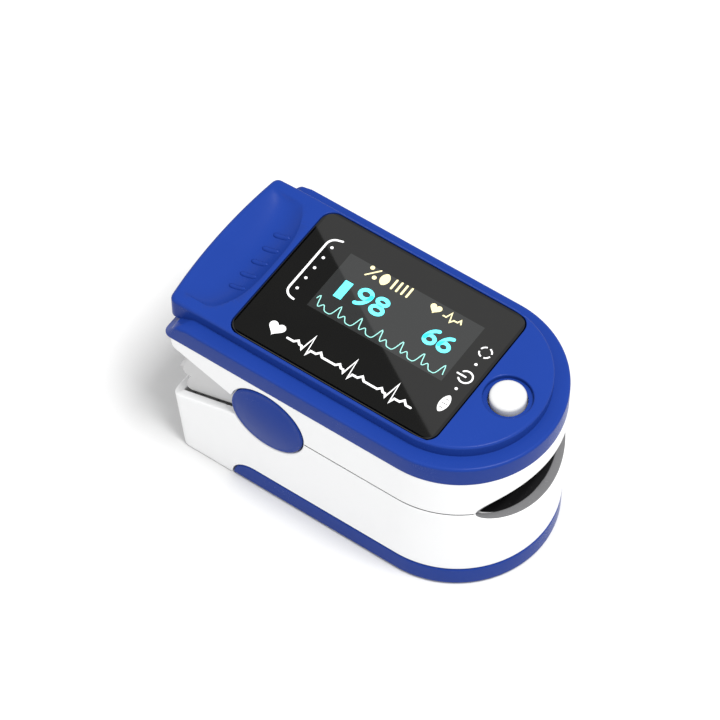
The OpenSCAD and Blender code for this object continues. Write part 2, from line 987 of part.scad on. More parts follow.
module case_screws() {
    color("silver")
    for (p = case_screw_places)
        translate([p[0], p[1], case_seat_z - screw_head_h])
            screw(screw_l);
}

// Domed cover over one end of the hinge, on the upper ear
module hinge_cover(side) {
    color("royalblue")
    translate([side * up_out, hinge_y, hinge_z])
        rotate([0, side * 90, 0])
            union() {
                cylinder(r = ear_r - 1, h = plate_gap + 0.1);
                translate([0, 0, plate_gap])
                    domed_disc(disc_r, wall, disc_dome);
            }
}

module hinge_cover_left() {
    hinge_cover(-1);
}

module hinge_cover_right() {
    hinge_cover(1);
}

/* Power button */

module power_button() {
    color("white")
    translate([0, button_y, plunger_z])
        union() {
            cylinder(r = flange_r, h = flange_t);
            domed_disc(button_r, body_h + button_rise - dome_h - plunger_z, dome_h);
        }
}

module switch_plunger() {
    color("black")
    translate([0, button_y, board_top_z + 0.15 + button_travel])
        cylinder(r = plunger_r, h = plunger_z - board_top_z - 0.15 - button_travel);
}

lower_housing();
lower_frame();
frame_screw();
lower_finger_pad();
sensor_board();
photodiode();
sensor_window();
battery_left();
battery_right();
front_contact();
rear_contact_negative();
rear_contact_positive();
hinge_pin();
torsion_spring_left();
torsion_spring_right();
link_ribbon();
battery_cover();
upper_housing();
upper_frame();
top_cover();
display_window();
window_gasket();
display_glass();
display_flex();
main_board();
processor_chip();
board_components();
tact_switch();
emitter_board();
emitter_leds();
emitter_window();
upper_finger_pad();
case_screws();
hinge_cover_left();
hinge_cover_right();
power_button();
switch_plunger();
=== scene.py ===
# %% [markdown]
# # A fingertip pulse oximeter
#
# Two sprung jaws clip over a finger. The upper jaw carries a blue top cover with a tinted
# window and a button, the lower jaw holds two cells behind a blue battery cover. The frame
# that is loaded here fixes every size, place and joint, and this script only adds the looks.

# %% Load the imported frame
import math

import bmesh
import bpy
import numpy as np
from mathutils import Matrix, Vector
from mathutils.geometry import delaunay_2d_cdt


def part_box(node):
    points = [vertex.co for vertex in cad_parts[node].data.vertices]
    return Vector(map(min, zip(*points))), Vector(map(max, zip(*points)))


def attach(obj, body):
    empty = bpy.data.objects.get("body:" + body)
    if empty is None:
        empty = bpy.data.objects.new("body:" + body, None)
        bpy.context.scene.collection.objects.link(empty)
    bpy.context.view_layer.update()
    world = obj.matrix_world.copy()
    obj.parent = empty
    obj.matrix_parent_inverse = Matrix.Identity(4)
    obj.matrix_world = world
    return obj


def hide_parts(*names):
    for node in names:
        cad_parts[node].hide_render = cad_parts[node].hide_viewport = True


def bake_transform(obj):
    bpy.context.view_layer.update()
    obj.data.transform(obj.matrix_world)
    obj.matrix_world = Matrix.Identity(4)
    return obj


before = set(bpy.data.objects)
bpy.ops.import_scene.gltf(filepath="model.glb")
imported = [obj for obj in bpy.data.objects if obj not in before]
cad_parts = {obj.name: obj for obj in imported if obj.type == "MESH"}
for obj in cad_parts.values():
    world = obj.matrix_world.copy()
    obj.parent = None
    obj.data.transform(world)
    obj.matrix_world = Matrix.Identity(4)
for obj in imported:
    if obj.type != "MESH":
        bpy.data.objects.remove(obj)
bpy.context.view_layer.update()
MM = 0.001


# %% [markdown]
# Sizes are easiest to check in millimetres, so every shape below is drawn in millimetres and
# only turned into metres when its mesh is made. The shared places come from the boxes of the
# CAD nodes: the half width of the shells, the tip, the tail, and the heights of the layers.

# %% Shared places, in millimetres
def span(node):
    low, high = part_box(node)
    return low / MM, high / MM


half_w = span("upper_housing")[1].x
tip = span("upper_housing")[0].y
shell_y = span("upper_housing")[1].y
tail = span("top_cover")[1].y
front_y = tip + half_w
lid_z = span("upper_housing")[1].z
top_z = span("top_cover")[1].z
upper_seam_z = span("upper_housing")[0].z
lower_seam_z = span("lower_housing")[1].z
seam_z = (upper_seam_z + lower_seam_z) / 2
pin_low, pin_high = span("hinge_pin")
hinge_y = (pin_low.y + pin_high.y) / 2
hinge_z = (pin_low.z + pin_high.z) / 2
apex_z = seam_z - (hinge_z - seam_z)
wall = 1.3
quarter = [math.pi / 2 * k / 6 for k in range(7)]
print(f"half width {half_w:.2f}, from {tip:.2f} to {tail:.2f}")
print(f"seam at {seam_z:.2f}, hinge at {hinge_y:.2f}")

# %% [markdown]
# ## Camera
#
# A long lens a little more than half a metre away keeps the sides nearly parallel. A short
# lens close by would make the nose look swollen. The camera looks down from the front left
# at a point near the middle.

# %% Camera
camera_azimuth = -55.28
camera_elevation = 55.16
camera_distance = 538.4
aim = Vector((2.6, 5.8, 16.5))


def direction(azimuth, elevation):
    """Unit vector from the object towards a place around it; azimuth 0 is in front."""
    a = math.radians(azimuth)
    e = math.radians(elevation)
    return Vector((math.sin(a) * math.cos(e), -math.cos(a) * math.cos(e), math.sin(e)))


def point_at(thing, place, target):
    thing.location = place * MM
    thing.rotation_mode = "QUATERNION"
    thing.rotation_quaternion = (target - place).to_track_quat("-Z", "Y")


camera_place = aim + direction(camera_azimuth, camera_elevation) * camera_distance
lens = bpy.data.cameras.new("catalogue_lens")
lens.lens = 180.1
lens.sensor_width = 36
lens.clip_start = 0.01
camera = bpy.data.objects.new("catalogue_camera", lens)
bpy.context.scene.collection.objects.link(camera)
point_at(camera, camera_place, aim)
bpy.context.scene.camera = camera
print("camera at", [round(c, 1) for c in camera_place], "mm")

# %% [markdown]
# ## Floor and light
#
# The object stands on a plain white floor under an even white sky. A small softbox high in
# front makes the tops brighter than the sides and draws the soft shadow, and a large, weak
# one on the left lifts the near side. Area lights were chosen because their size and
# distance decide how soft the edge of a shadow is.

# %% Sky and softboxes
scene = bpy.context.scene
scene.view_settings.view_transform = "Standard"
scene.view_settings.look = "None"
sky_level = 0.8
sky = bpy.data.worlds.new("white_sky")
sky.use_nodes = True
background = sky.node_tree.nodes["Background"]
background.inputs["Color"].default_value = (1, 1, 1, 1)
background.inputs["Strength"].default_value = sky_level
scene.world = sky
softbox_far = 900


def softbox(name, azimuth, elevation, size, watts):
    """An area light that looks at the object from one side."""
    lamp = bpy.data.lights.new(name, "AREA")
    lamp.shape = "RECTANGLE"
    lamp.size = size[0] * MM
    lamp.size_y = size[1] * MM
    lamp.energy = watts
    box = bpy.data.objects.new(name, lamp)
    scene.collection.objects.link(box)
    point_at(box, aim + direction(azimuth, elevation) * softbox_far, aim)
    print(f"{name}: {size[0]} x {size[1]} mm, {watts} W")


softbox("softbox_key", -5, 70, (320, 320), 10)
softbox("softbox_left", -105, 30, (500, 700), 1.3)


# %% [markdown]
# The floor is one large white card. The window mirrors whatever lies on the far side of the
# object, so a black flag stands there: where the window mirrors the flag it is dark, and
# past the flag's edge it mirrors the sky, which gives the slanting glare. The flag's corners
# are drawn on the window and then thrown out along the mirrored lines of sight.

# %% Floor and flag
def staged_sheet(name, corners, grey):
    """A flat card that belongs to the studio, not to the object."""
    mesh = bpy.data.meshes.new(name)
    mesh.from_pydata([Vector(c) * MM for c in corners], [], [(0, 1, 2, 3)])
    paint = bpy.data.materials.new(name)
    paint.use_nodes = True
    shader = paint.node_tree.nodes["Principled BSDF"]
    shader.inputs["Base Color"].default_value = (grey, grey, grey, 1)
    shader.inputs["Roughness"].default_value = 0.95
    shader.inputs["Specular IOR Level"].default_value = 0.0
    mesh.materials.append(paint)
    card = bpy.data.objects.new(name, mesh)
    scene.collection.objects.link(card)


floor_far = 3000
floor_z = -0.05
floor_grey = 0.62
compass = ((-1, -1), (1, -1), (1, 1), (-1, 1))
floor_corners = [(x * floor_far, y * floor_far, floor_z) for x, y in compass]
staged_sheet("studio_floor", floor_corners, floor_grey)

mirrored_camera = Vector((camera_place.x, camera_place.y, 2 * top_z - camera_place.z))
glare_rear = Vector((8.9, 17.7, top_z))
glare_front = Vector((-11.7, -16.2, top_z))
flag_reach = 2.7
flag_wide = 60
flag_black = 0.001


def seen_in_window(spot):
    """The place behind the object whose reflection is seen at that spot of the window."""
    return mirrored_camera + (spot - mirrored_camera) * flag_reach


glare_line = glare_rear - glare_front
dark_side = Vector((-glare_line.y, glare_line.x, 0)).normalized() * flag_wide
flag_spots = [glare_front - glare_line * 0.35, glare_rear + glare_line * 0.12]
flag_spots += [flag_spots[1] + dark_side, flag_spots[0] + dark_side]
staged_sheet("black_flag", [seen_in_window(spot) for spot in flag_spots], flag_black)
print(f"the glare's edge is {glare_line.length:.1f} mm long on the window")


# %% [markdown]
# ## Materials written as expressions
#
# A material is a small program. `Finish` starts one and adds any node with one method, and
# `Signal` wraps an output socket, so that `0.3 + 0.1 * noise` adds the Math nodes by itself.
# Colours are mixed by Mix nodes, because a Math node would turn them grey.

# %% Sockets with arithmetic
class Signal:
    """An output socket of a finish that takes part in Python arithmetic."""

    def __init__(self, finish, socket):
        self.finish = finish
        self.socket = socket

    def math(self, operation, first, second=0.0):
        settings = {"operation": operation}
        return self.finish.node("ShaderNodeMath", settings, {0: first, 1: second})

    def __add__(self, other):
        return self.math("ADD", self, other)

    __radd__ = __add__

    def __mul__(self, other):
        return self.math("MULTIPLY", self, other)

    __rmul__ = __mul__

    def __sub__(self, other):
        return self.math("SUBTRACT", self, other)

    def __rsub__(self, other):
        return self.math("SUBTRACT", other, self)

    def __gt__(self, other):
        return self.math("GREATER_THAN", self, other)

    def __lt__(self, other):
        return self.math("LESS_THAN", self, other)

    def size(self):
        return self.math("ABSOLUTE", self)

    def larger(self, other):
        return self.math("MAXIMUM", self, other)

    def wrapped(self, period):
        """The remainder after whole periods, always from 0 to period."""
        return self.math("FLOORED_MODULO", self, period)


print("signals can be added, multiplied and compared now")


# %% [markdown]
# A finish keeps one material and its node tree. Uniform values are set on the shader's own
# sockets, so only what varies over the surface becomes nodes and links.

# %% One material
class Finish:
    """One material: uniform values go on the shader's own sockets, patterns come from nodes."""

    def __init__(self, name, colour, roughness, **uniform):
        self.material = bpy.data.materials.new(name)
        self.material.use_nodes = True
        self.tree = self.material.node_tree
        self.surface = self.tree.nodes["Principled BSDF"]
        self.surface.inputs["Base Color"].default_value = (*colour, 1)
        self.surface.inputs["Roughness"].default_value = roughness
        for socket, value in uniform.items():
            self.surface.inputs[socket.replace("_", " ")].default_value = value

    def node(self, kind, settings=None, inputs=None, output=0):
        """Adds a node: first its settings, then the values or links of its sockets."""
        added = self.tree.nodes.new(kind)
        for key, value in (settings or {}).items():
            setattr(added, key, value)
        for key, value in (inputs or {}).items():
            if isinstance(value, Signal):
                self.tree.links.new(value.socket, added.inputs[key])
            else:
                added.inputs[key].default_value = value
        return Signal(self, added.outputs[output])

    def place(self):
        """The point on the surface in the object's own frame, in millimetres."""
        here = self.node("ShaderNodeTexCoord", output="Object")
        return self.node("ShaderNodeVectorMath", {"operation": "SCALE"}, {0: here, "Scale": 1 / MM})

    def along(self, axis):
        return self.node("ShaderNodeSeparateXYZ", inputs={0: self.place()}, output=axis)

    def noise(self, feature, detail=2.0, stretch=(1, 1, 1)):
        """Noise from 0 to 1 whose blobs are about one feature wide, in millimetres."""
        spread = {0: self.place(), 1: stretch}
        scaled = self.node("ShaderNodeVectorMath", {"operation": "MULTIPLY"}, spread)
        sockets = {"Vector": scaled, "Scale": 1 / feature, "Detail": detail}
        return self.node("ShaderNodeTexNoise", inputs=sockets)

    def mix(self, share, first, second):
        """Blends two colours; each is an RGB triple or a colour signal."""
        colours = [c if isinstance(c, Signal) else (*c, 1) for c in (first, second)]
        sockets = {"Factor": share, "A": colours[0], "B": colours[1]}
        return self.node("ShaderNodeMix", {"data_type": "RGBA"}, sockets, output="Result")

    def feed(self, socket, signal):
        self.tree.links.new(signal.socket, self.surface.inputs[socket])

    def bump(self, height, depth):
        """Raises the surface by height, a signal from 0 to 1, times depth in millimetres."""
        sockets = {"Height": height, "Distance": depth * MM}
        self.feed("Normal", self.node("ShaderNodeBump", inputs=sockets))


print("finishes can be written now")


# %% [markdown]
# Moulded ABS takes the texture of its mould: a fine spark-eroded grain, slightly uneven gloss
# and, after handling, a few faint drifts in tone. All plastic pieces share this recipe, with
# their own colour, gloss and depth of grain.

# %% Moulded plastics
def moulded(name, colour, roughness, grain=0.22, depth=0.004, drift=0.06, **uniform):
    finish = Finish(name, colour, roughness, **uniform)
    clouds = finish.noise(9.0, detail=3.0)
    speckle = finish.noise(grain, detail=1.0)
    darker = [c * (1 - drift) for c in colour]
    lighter = [min(1.0, c * (1 + drift)) for c in colour]
    finish.feed("Base Color", finish.mix(clouds, darker, lighter))
    finish.feed("Roughness", roughness - 0.05 + 0.06 * clouds + 0.04 * speckle)
    finish.bump(speckle, depth)
    return finish.material


royal_blue = moulded("royal_blue_abs", (0.010, 0.035, 0.215), 0.26, Specular_IOR_Level=0.06)
shell_white = moulded("white_abs", (0.76, 0.763, 0.766), 0.36, depth=0.003, drift=0.012)
frame_white = moulded("natural_frame_abs", (0.5, 0.5, 0.5), 0.5, grain=0.3, drift=0.03)
button_white = moulded("white_button_abs", (0.5, 0.502, 0.505), 0.28, depth=0.002, drift=0.01)
print("moulded:", royal_blue.name, shell_white.name, frame_white.name, button_white.name)


# %% [markdown]
# Silicone is matt, slightly translucent and picks up dust. The pads are black. The lips that
# wrap the edge of the mouth are grey silicone whose grey is painted shade for those edges.

# %% Silicone and rubber
def silicone(name, colour, roughness, dust):
    finish = Finish(name, colour, roughness, Specular_IOR_Level=0.1)
    grain = finish.noise(0.16, detail=2.0)
    specks = finish.noise(0.45, detail=0.0) > 0.78
    dusty = [c + dust for c in colour]
    finish.feed("Base Color", finish.mix(specks * grain, colour, dusty))
    finish.feed("Roughness", roughness + 0.15 * grain)
    finish.bump(grain, 0.012)
    return finish.material


pad_black = silicone("black_silicone", (0.005, 0.005, 0.0055), 0.6, 0.015)
# The lips' grey is painted shade: it stands for the shade on the cut edges of the mouth.
lip_grey_painted_shade = silicone("grey_silicone_painted_shade", (0.15, 0.15, 0.154), 0.5, 0.06)
gasket_black = silicone("gasket_foam", (0.01, 0.01, 0.01), 0.7, 0.03)
print("silicone:", pad_black.name, lip_grey_painted_shade.name, gasket_black.name)


# %% [markdown]
# ## Shapes with rounded edges
#
# Nearly every shell of this object is a sheet of even thickness cut out along a line: a side
# wall, the top, the floor of the battery cover. A moulded sheet never has knife edges, so one
# helper makes them all. It takes outlines drawn on a flat sheet (u, v), rounds every edge
# with a quarter circle of rings, fills both faces with triangles and bends the result into
# place with two functions, one for each face. Drawing flat and bending later is easier to
# get right than cutting finished shells with booleans, and the edges stay clean.

# %% Outlines and their rounded edges
SEAM = None
NEARLY_STRAIGHT = 0.03
BOTH_SIDES = ((-1, "left"), (1, "right"))


def densify(loop, step):
    """The outline with no edge longer than step; its corners are (u, v, edge radius)."""
    dense = []
    for i, (u, v, radius) in enumerate(loop):
        u_next, v_next, _ = loop[(i + 1) % len(loop)]
        parts = max(1, math.ceil(math.hypot(u_next - u, v_next - v) / step - 0.01))
        for k in range(parts):
            dense.append((u + (u_next - u) * k / parts, v + (v_next - v) * k / parts, radius))
    return dense


def edge_ring(loop, angle):
    """The outline moved in as far as the rounded edge is at an angle, as (u, v, depth)."""
    moved = []
    for i, (u, v, radius) in enumerate(loop):
        u_last, v_last, radius_last = loop[i - 1]
        u_next, v_next, _ = loop[(i + 1) % len(loop)]
        before = Vector((u - u_last, v - v_last)).normalized()
        after = Vector((u_next - u, v_next - v)).normalized()
        inset_before = (radius_last or 0) * (1 - math.sin(angle))
        inset_after = (radius or 0) * (1 - math.sin(angle))
        turn = before.cross(after)
        if abs(turn) < NEARLY_STRAIGHT:
            normal = Vector((-before.y - after.y, before.x + after.x)).normalized()
            shift = normal * (inset_before + inset_after) / 2
        else:
            shift = (inset_before * after - inset_after * before) / turn
        radii = [r for r in (radius_last, radius) if r is not SEAM]
        depth = sum(radii) / max(1, len(radii)) * (1 - math.cos(angle))
        moved.append((u + shift.x, v + shift.y, depth))
    return moved


square = [(x, y, 0.1) for x, y in ((0, 0), (1, 0), (1, 1), (0, 1))]
print("a unit square in steps of 0.25 has", len(densify(square, 0.25)), "points")


# %% [markdown]
# The area inside an outline is filled by a Delaunay triangulation, which makes even
# triangles and keeps every edge of the outline. Where the surface will be bent or pressed,
# inner points are added first, so that there is something to bend.

# %% Filling an outline
def crossings(points, outlines):
    """How many outline edges lie on one side of each point: odd means inside."""
    count = np.zeros(len(points), int)
    for outline in outlines:
        for (u0, v0), (u1, v1) in zip(outline, outline[1:] + outline[:1]):
            if v0 == v1:
                continue
            between = (points[:, 1] >= min(v0, v1)) & (points[:, 1] < max(v0, v1))
            u_cut = u0 + (points[:, 1] - v0) * (u1 - u0) / (v1 - v0)
            count += between & (points[:, 0] < u_cut)
    return count


def clear_of(points, outlines, gap):
    """Which points are at least gap away from every outline."""
    free = np.ones(len(points), bool)
    for outline in outlines:
        for start, end in zip(outline, outline[1:] + outline[:1]):
            a = np.array(start)
            edge = np.array(end) - a
            share = np.clip((points - a) @ edge / max(edge @ edge, 1e-12), 0, 1)
            free &= np.linalg.norm(points - a - share[:, None] * edge, axis=1) > gap
    return free


def filled(outlines, inner, gap):
    """Triangles over the area inside the outlines, as corner points and index triples."""
    rim = [p for outline in outlines for p in outline]
    edges = []
    for outline in outlines:
        first = len(edges)
        edges += [(first + k, first + (k + 1) % len(outline)) for k in range(len(outline))]
    if len(inner):
        inner = np.array(inner, float)
        inner = inner[crossings(inner, outlines) % 2 == 1]
        inner = inner[clear_of(inner, outlines, gap)]
    corners = [Vector(p) for p in rim] + [Vector(p) for p in inner]
    points, _, triangles, *_ = delaunay_2d_cdt(corners, edges, [], 0, 1e-9)
    middles = np.array([sum((points[k] for k in t), Vector((0, 0))) / 3 for t in triangles])
    kept = crossings(middles, outlines) % 2 == 1
    return points, [t for t, keep in zip(triangles, kept) if keep]


print("a square is filled by", len(filled([[p[:2] for p in square]], [], 0.1)[1]), "triangles")


# %% One solid between two bent faces
def add_sheet(shape, loops, front, back, inner=(), step=0.6, back_edge=0.1, gap=0.2, edge_steps=4):
    """Adds a closed solid to shape. front and back take (u, v, depth below that face)."""
    loops = [densify(loop, step) for loop in loops]
    angles = [math.pi / 2 * k / edge_steps for k in range(edge_steps)] + [math.pi / 2]
    walls = []
    for surface in (front, back):
        thin = surface is back
        rims = loops
        if thin:
            rims = [[(u, v, r if r is SEAM else back_edge) for u, v, r in loop] for loop in loops]
        rings = [[edge_ring(rim, angle) for angle in angles] for rim in rims]
        caps = [[(u, v) for u, v, _ in ring[0]] for ring in rings]
        points, triangles = filled(caps, inner, gap)
        made = [shape.verts.new(Vector(surface(p.x, p.y, 0.0)) * MM) for p in points]
        for t in triangles:
            shape.faces.new([made[k] for k in (reversed(t) if thin else t)])
        placed = [[[Vector(surface(*p)) * MM for p in r] for r in ring] for ring in rings]
        walls.append([[[shape.verts.new(p) for p in r] for r in ring] for ring in placed])
    for loop, front_rings, back_rings in zip(loops, *walls):
        rows = front_rings + back_rings[::-1]
        for upper, lower in zip(rows, rows[1:]):
            for k, (_, _, radius) in enumerate(loop):
                if radius is not SEAM:
                    n = (k + 1) % len(loop)
                    shape.faces.new((upper[k], lower[k], lower[n], upper[n]))


def level(z, into):
    """A flat face at height z; the solid lies above it where into is 1, below where -1."""
    return lambda u, v, d: (u, v, z + into * d)


def skin(place, thickness):
    """The outer and the inner face of a bent wall."""
    return place, lambda u, v, d: place(u, v, thickness - d)


print("a sheet between two faces can be made now")


# %% [markdown]
# Three more ways to make a solid cover the rest. The shells are the same left and right, so
# one half is drawn and mirrored. Round pieces are a profile spun round an axis, and wires
# and strips are rings joined along a path.

# %% Mirrored, turned and swept shapes
def mirror_copy(shape):
    """Adds the left half of a shape that was drawn on the right."""
    copy = bmesh.ops.duplicate(shape, geom=shape.verts[:] + shape.edges[:] + shape.faces[:])["geom"]
    for item in copy:
        if isinstance(item, bmesh.types.BMVert):
            item.co.x = -item.co.x
    bmesh.ops.reverse_faces(shape, faces=[f for f in copy if isinstance(f, bmesh.types.BMFace)])


def add_turned(shape, profile, place, segments=96):
    """Spins a profile of (radius, height) points; place(x, y, height) puts them in the frame."""
    rings = []
    for radius, height in profile:
        count = segments if radius > 0 else 1
        angles = [2 * math.pi * k / segments for k in range(count)]
        spots = [place(radius * math.cos(a), radius * math.sin(a), height) for a in angles]
        rings.append([shape.verts.new(Vector(p) * MM) for p in spots])
    for lower, upper in zip(rings, rings[1:]):
        for k in range(segments):
            n = (k + 1) % segments
            corners = [lower[k % len(lower)], lower[n % len(lower)]]
            corners += [upper[n % len(upper)], upper[k % len(upper)]]
            shape.faces.new(list(dict.fromkeys(corners)))


def upright(x0, y0):
    """Places a turned piece on an upright axis."""
    return lambda x, y, h: (x0 + x, y0 + y, h)


def add_swept(shape, rings, capped=True):
    """Joins rings of points into one tube and closes its ends."""
    rows = [[shape.verts.new(Vector(p) * MM) for p in ring] for ring in rings]
    for first, second in zip(rows, rows[1:]):
        for k in range(len(first)):
            n = (k + 1) % len(first)
            shape.faces.new((first[k], first[n], second[n], second[k]))
    if capped:
        shape.faces.new(rows[0][::-1])
        shape.faces.new(rows[-1])


def rotated(arm, angle):
    """A flat vector turned by an angle."""
    across = arm.x * math.cos(angle) - arm.y * math.sin(angle)
    return Vector((across, arm.x * math.sin(angle) + arm.y * math.cos(angle)))


print("a quarter turn takes +x to", [round(c) for c in rotated(Vector((1, 0)), math.pi / 2)])


# %% [markdown]
# A shape only becomes a piece when it is an object. Doubled points are merged, normals are
# turned outwards, and edges sharper than an angle stay sharp while the rest is shaded
# smoothly. The piece then rides on its body and stands for the CAD node that it refines.

# %% From shape to piece
weld_m = 2e-7
sliver_m = 1e-8


def finished(name, shape, material, sharp=38):
    """Turns a shape into an object with clean normals."""
    bmesh.ops.remove_doubles(shape, verts=shape.verts, dist=weld_m)
    bmesh.ops.dissolve_degenerate(shape, edges=shape.edges, dist=sliver_m)
    bmesh.ops.recalc_face_normals(shape, faces=shape.faces)
    mesh = bpy.data.meshes.new(name)
    shape.to_mesh(mesh)
    shape.free()
    mesh.shade_smooth()
    mesh.set_sharp_from_angle(angle=math.radians(sharp))
    mesh.materials.append(material)
    thing = bpy.data.objects.new(name, mesh)
    scene.collection.objects.link(thing)
    weighted = thing.modifiers.new("face weighted normals", "WEIGHTED_NORMAL")
    weighted.keep_sharp = True
    print(f"{name}: {len(mesh.vertices)} points, {len(mesh.polygons)} faces")
    return thing


def fitted(thing, body, slot, *nodes):
    """Puts a piece on its body and lets it stand for the CAD nodes that it refines."""
    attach(thing, body)
    if nodes:
        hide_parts(*nodes)


print("points closer than", weld_m, "m are merged")

# %% [markdown]
# ## The white shells
#
# Both white shells are one upright wall that follows the same plan: a half circle in front,
# straight sides and small rear corners. Rolled out flat, the wall is a strip, so the mouth,
# the round gap for the hinge cover and the sloping rear edge can be drawn on it. Only the
# right half is drawn, then it is mirrored.

# %% The plan as a path
corner_r = 1.5
arc_end = half_w * math.pi / 2
side_end = arc_end + (shell_y - corner_r - front_y)
corner_end = side_end + corner_r * math.pi / 2
half_way = corner_end + half_w - corner_r


def around(s, z, inset):
    """A point of the wall, s along the plan from the front centre, inset behind its skin."""
    if s < arc_end:
        a = s / half_w
        return ((half_w - inset) * math.sin(a), front_y - (half_w - inset) * math.cos(a), z)
    turn_in = max(corner_r, inset)
    reach = turn_in - inset
    if s < side_end:
        share = (s - arc_end) / (side_end - arc_end)
        return (half_w - inset, front_y + share * (shell_y - turn_in - front_y), z)
    if s < corner_end:
        a = (s - side_end) / corner_r
        return (half_w - turn_in + reach * math.cos(a), shell_y - turn_in + reach * math.sin(a), z)
    return ((half_way - s) * (half_w - turn_in) / (half_w - corner_r), shell_y - inset, z)


def s_at_x(x):
    return half_w * math.asin(x / half_w)


def s_at_y(y):
    return arc_end + y - front_y


def arc_points(x, y, radius, start, end, steps):
    """Points of an arc on a flat sheet, angles in degrees."""
    angles = [math.radians(start + (end - start) * k / steps) for k in range(steps + 1)]
    return [(x + radius * math.cos(a), y + radius * math.sin(a)) for a in angles]


def arc(centre, radius, start, end, steps):
    """Points of an arc in the y-z plane of the side wall, angles in degrees from +y."""
    line = arc_points(*centre, radius, start, end, steps)
    return [(s_at_y(y), z) for y, z in line]


print(f"half the plan is {half_way:.1f} mm long")

# %% Lines that both shells share
mouth_half = 11.7
disc_gap_r = 6.55
shell_edge = 0.28
parting_edge = 0.12
mouth_edge = 0.14
slope_up = math.tan(math.radians(20.8))
slope_down = math.tan(math.radians(19.3))


def mouth_line(height, cut_z, steps=28):
    """The mouth from the front centre to its corner, height above or below the seam."""
    stop = math.acos(min(1.0, abs(cut_z - seam_z) / abs(height)))
    angles = [stop * k / steps for k in range(steps + 1)]
    return [(s_at_x(mouth_half * math.sin(a)), seam_z + height * math.cos(a)) for a in angles]


def gap_arc(cut_z, slope):
    """Round the hinge cover, from the seam to the sloping rear edge."""
    start = 180 - math.degrees(math.asin((cut_z - hinge_z) / disc_gap_r))
    drop = hinge_z - apex_z
    run = drop * slope / (1 + slope ** 2)
    reach = run + math.sqrt(run ** 2 + (disc_gap_r ** 2 - drop ** 2) / (1 + slope ** 2))
    end = math.degrees(math.atan2(slope * reach - drop, reach))
    if slope < 0:
        end += 360
    return arc((hinge_y, hinge_z), disc_gap_r, start, end, 40)


def rear_slope(slope, steps=8):
    """The edge behind the hinge: straight along the side, then round the rear corner."""
    line = [(side_end, shell_y - corner_r)]
    for k in range(1, steps + 1):
        a = math.pi / 2 * k / steps
        line.append((side_end + corner_r * a, shell_y - corner_r + corner_r * math.sin(a)))
    return [(s, apex_z + slope * (y - hinge_y)) for s, y in line]


def grid(u0, u1, v0, v1, du, dv):
    """Places for inner points, row by row."""
    us = np.arange(u0 + du / 2, u1, du)
    vs = np.arange(v0 + dv / 2, v1, dv)
    return [(u, v) for u in us for v in vs]


def with_radius(points, radius):
    return [(u, v, radius) for u, v in points]


print(f"the mouth is {2 * mouth_half:.1f} mm wide, the gap round the hinge {2 * disc_gap_r:.1f} mm")

# %% Upper white shell
mouth_up = 4.5
upper_line = (
    with_radius(mouth_line(mouth_up, upper_seam_z), mouth_edge)
    + with_radius(gap_arc(upper_seam_z, slope_up), shell_edge)
    + with_radius(rear_slope(slope_up), shell_edge)
    + [(half_way, apex_z + slope_up * (shell_y - hinge_y), SEAM), (half_way, lid_z, parting_edge)]
    + [(0, lid_z, SEAM)]
)
nose_points = grid(0, arc_end, upper_seam_z, lid_z, 0.7, 2.4)
corner_points = grid(side_end, corner_end, seam_z, lid_z, 0.3, 1.5)
shape = bmesh.new()
add_sheet(
    shape,
    [upper_line],
    *skin(around, wall),
    inner=nose_points + corner_points,
)
mirror_copy(shape)
upper_shell = finished("upper_white_shell", shape, shell_white)
fitted(upper_shell, "upper_jaw", "white_shell", "upper_housing")

# %% [markdown]
# The lower shell is the same kind of strip, cut away above by the mouth, the hinge cover and
# the slope, and below by the round-nosed side band of the battery cover. Its rear wall leans
# in towards the foot. Inside, a curb guides the battery cover, a boss takes the frame's
# screw, and a small eye for a lanyard stands on the rear wall.

# %% Outline of the lower wall
mouth_down = 3.8
lean_top = lower_seam_z + 0.15 - 6.5
lean = math.tan(math.radians(6))
lean_run = 6
band_high = span("battery_cover")[1].z
cover_long = 45.8
cover_end = span("battery_cover")[0].y + cover_long
nose_y = cover_end - band_high
cover_gap = 0.2
floor_t = 1.4
foot_edge = 0.35


def lower_wall(s, z, inset):
    x, y, _ = around(s, z, inset)
    share = min(1, max(0, (s - side_end + lean_run) / lean_run))
    return (x, y - share * lean * max(0, lean_top - z), z)


def band_arc(radius, edge):
    """The rounded front end of the battery cover's side band."""
    return with_radius(arc((nose_y, 0), radius, 0, 90, 14), edge)


lower_line = (
    with_radius(mouth_line(-mouth_down, lower_seam_z), mouth_edge)
    + with_radius(gap_arc(lower_seam_z, -slope_down), shell_edge)
    + with_radius(rear_slope(-slope_down), shell_edge)
    + [(half_way, apex_z - slope_down * (shell_y - hinge_y), SEAM)]
    + [(half_way, 0, foot_edge)]
    + band_arc(band_high + cover_gap, parting_edge)
    + [(0, band_high + cover_gap, SEAM)]
)
lower_line = lower_line[::-1]
radii = [radius for _, _, radius in lower_line]
lower_line = [(u, v, radius) for (u, v, _), radius in zip(lower_line, radii[1:] + radii[:1])]
print(f"the lower wall is drawn with {len(lower_line)} points")


# %% Lower wall with its curb
def add_band(shape, profile, place):
    """Carries a closed profile of (inset, z) points round the right half of the plan."""
    stations = [0.0]
    parts = ((0, arc_end, 44), (arc_end, side_end, 22), (side_end, corner_end, 8), (corner_end, half_way, 6))
    for start, end, count in parts:
        stations += list(np.linspace(start, end, count))[1:]
    add_swept(shape, [[place(s, z, inset) for inset, z in profile] for s in stations], capped=False)


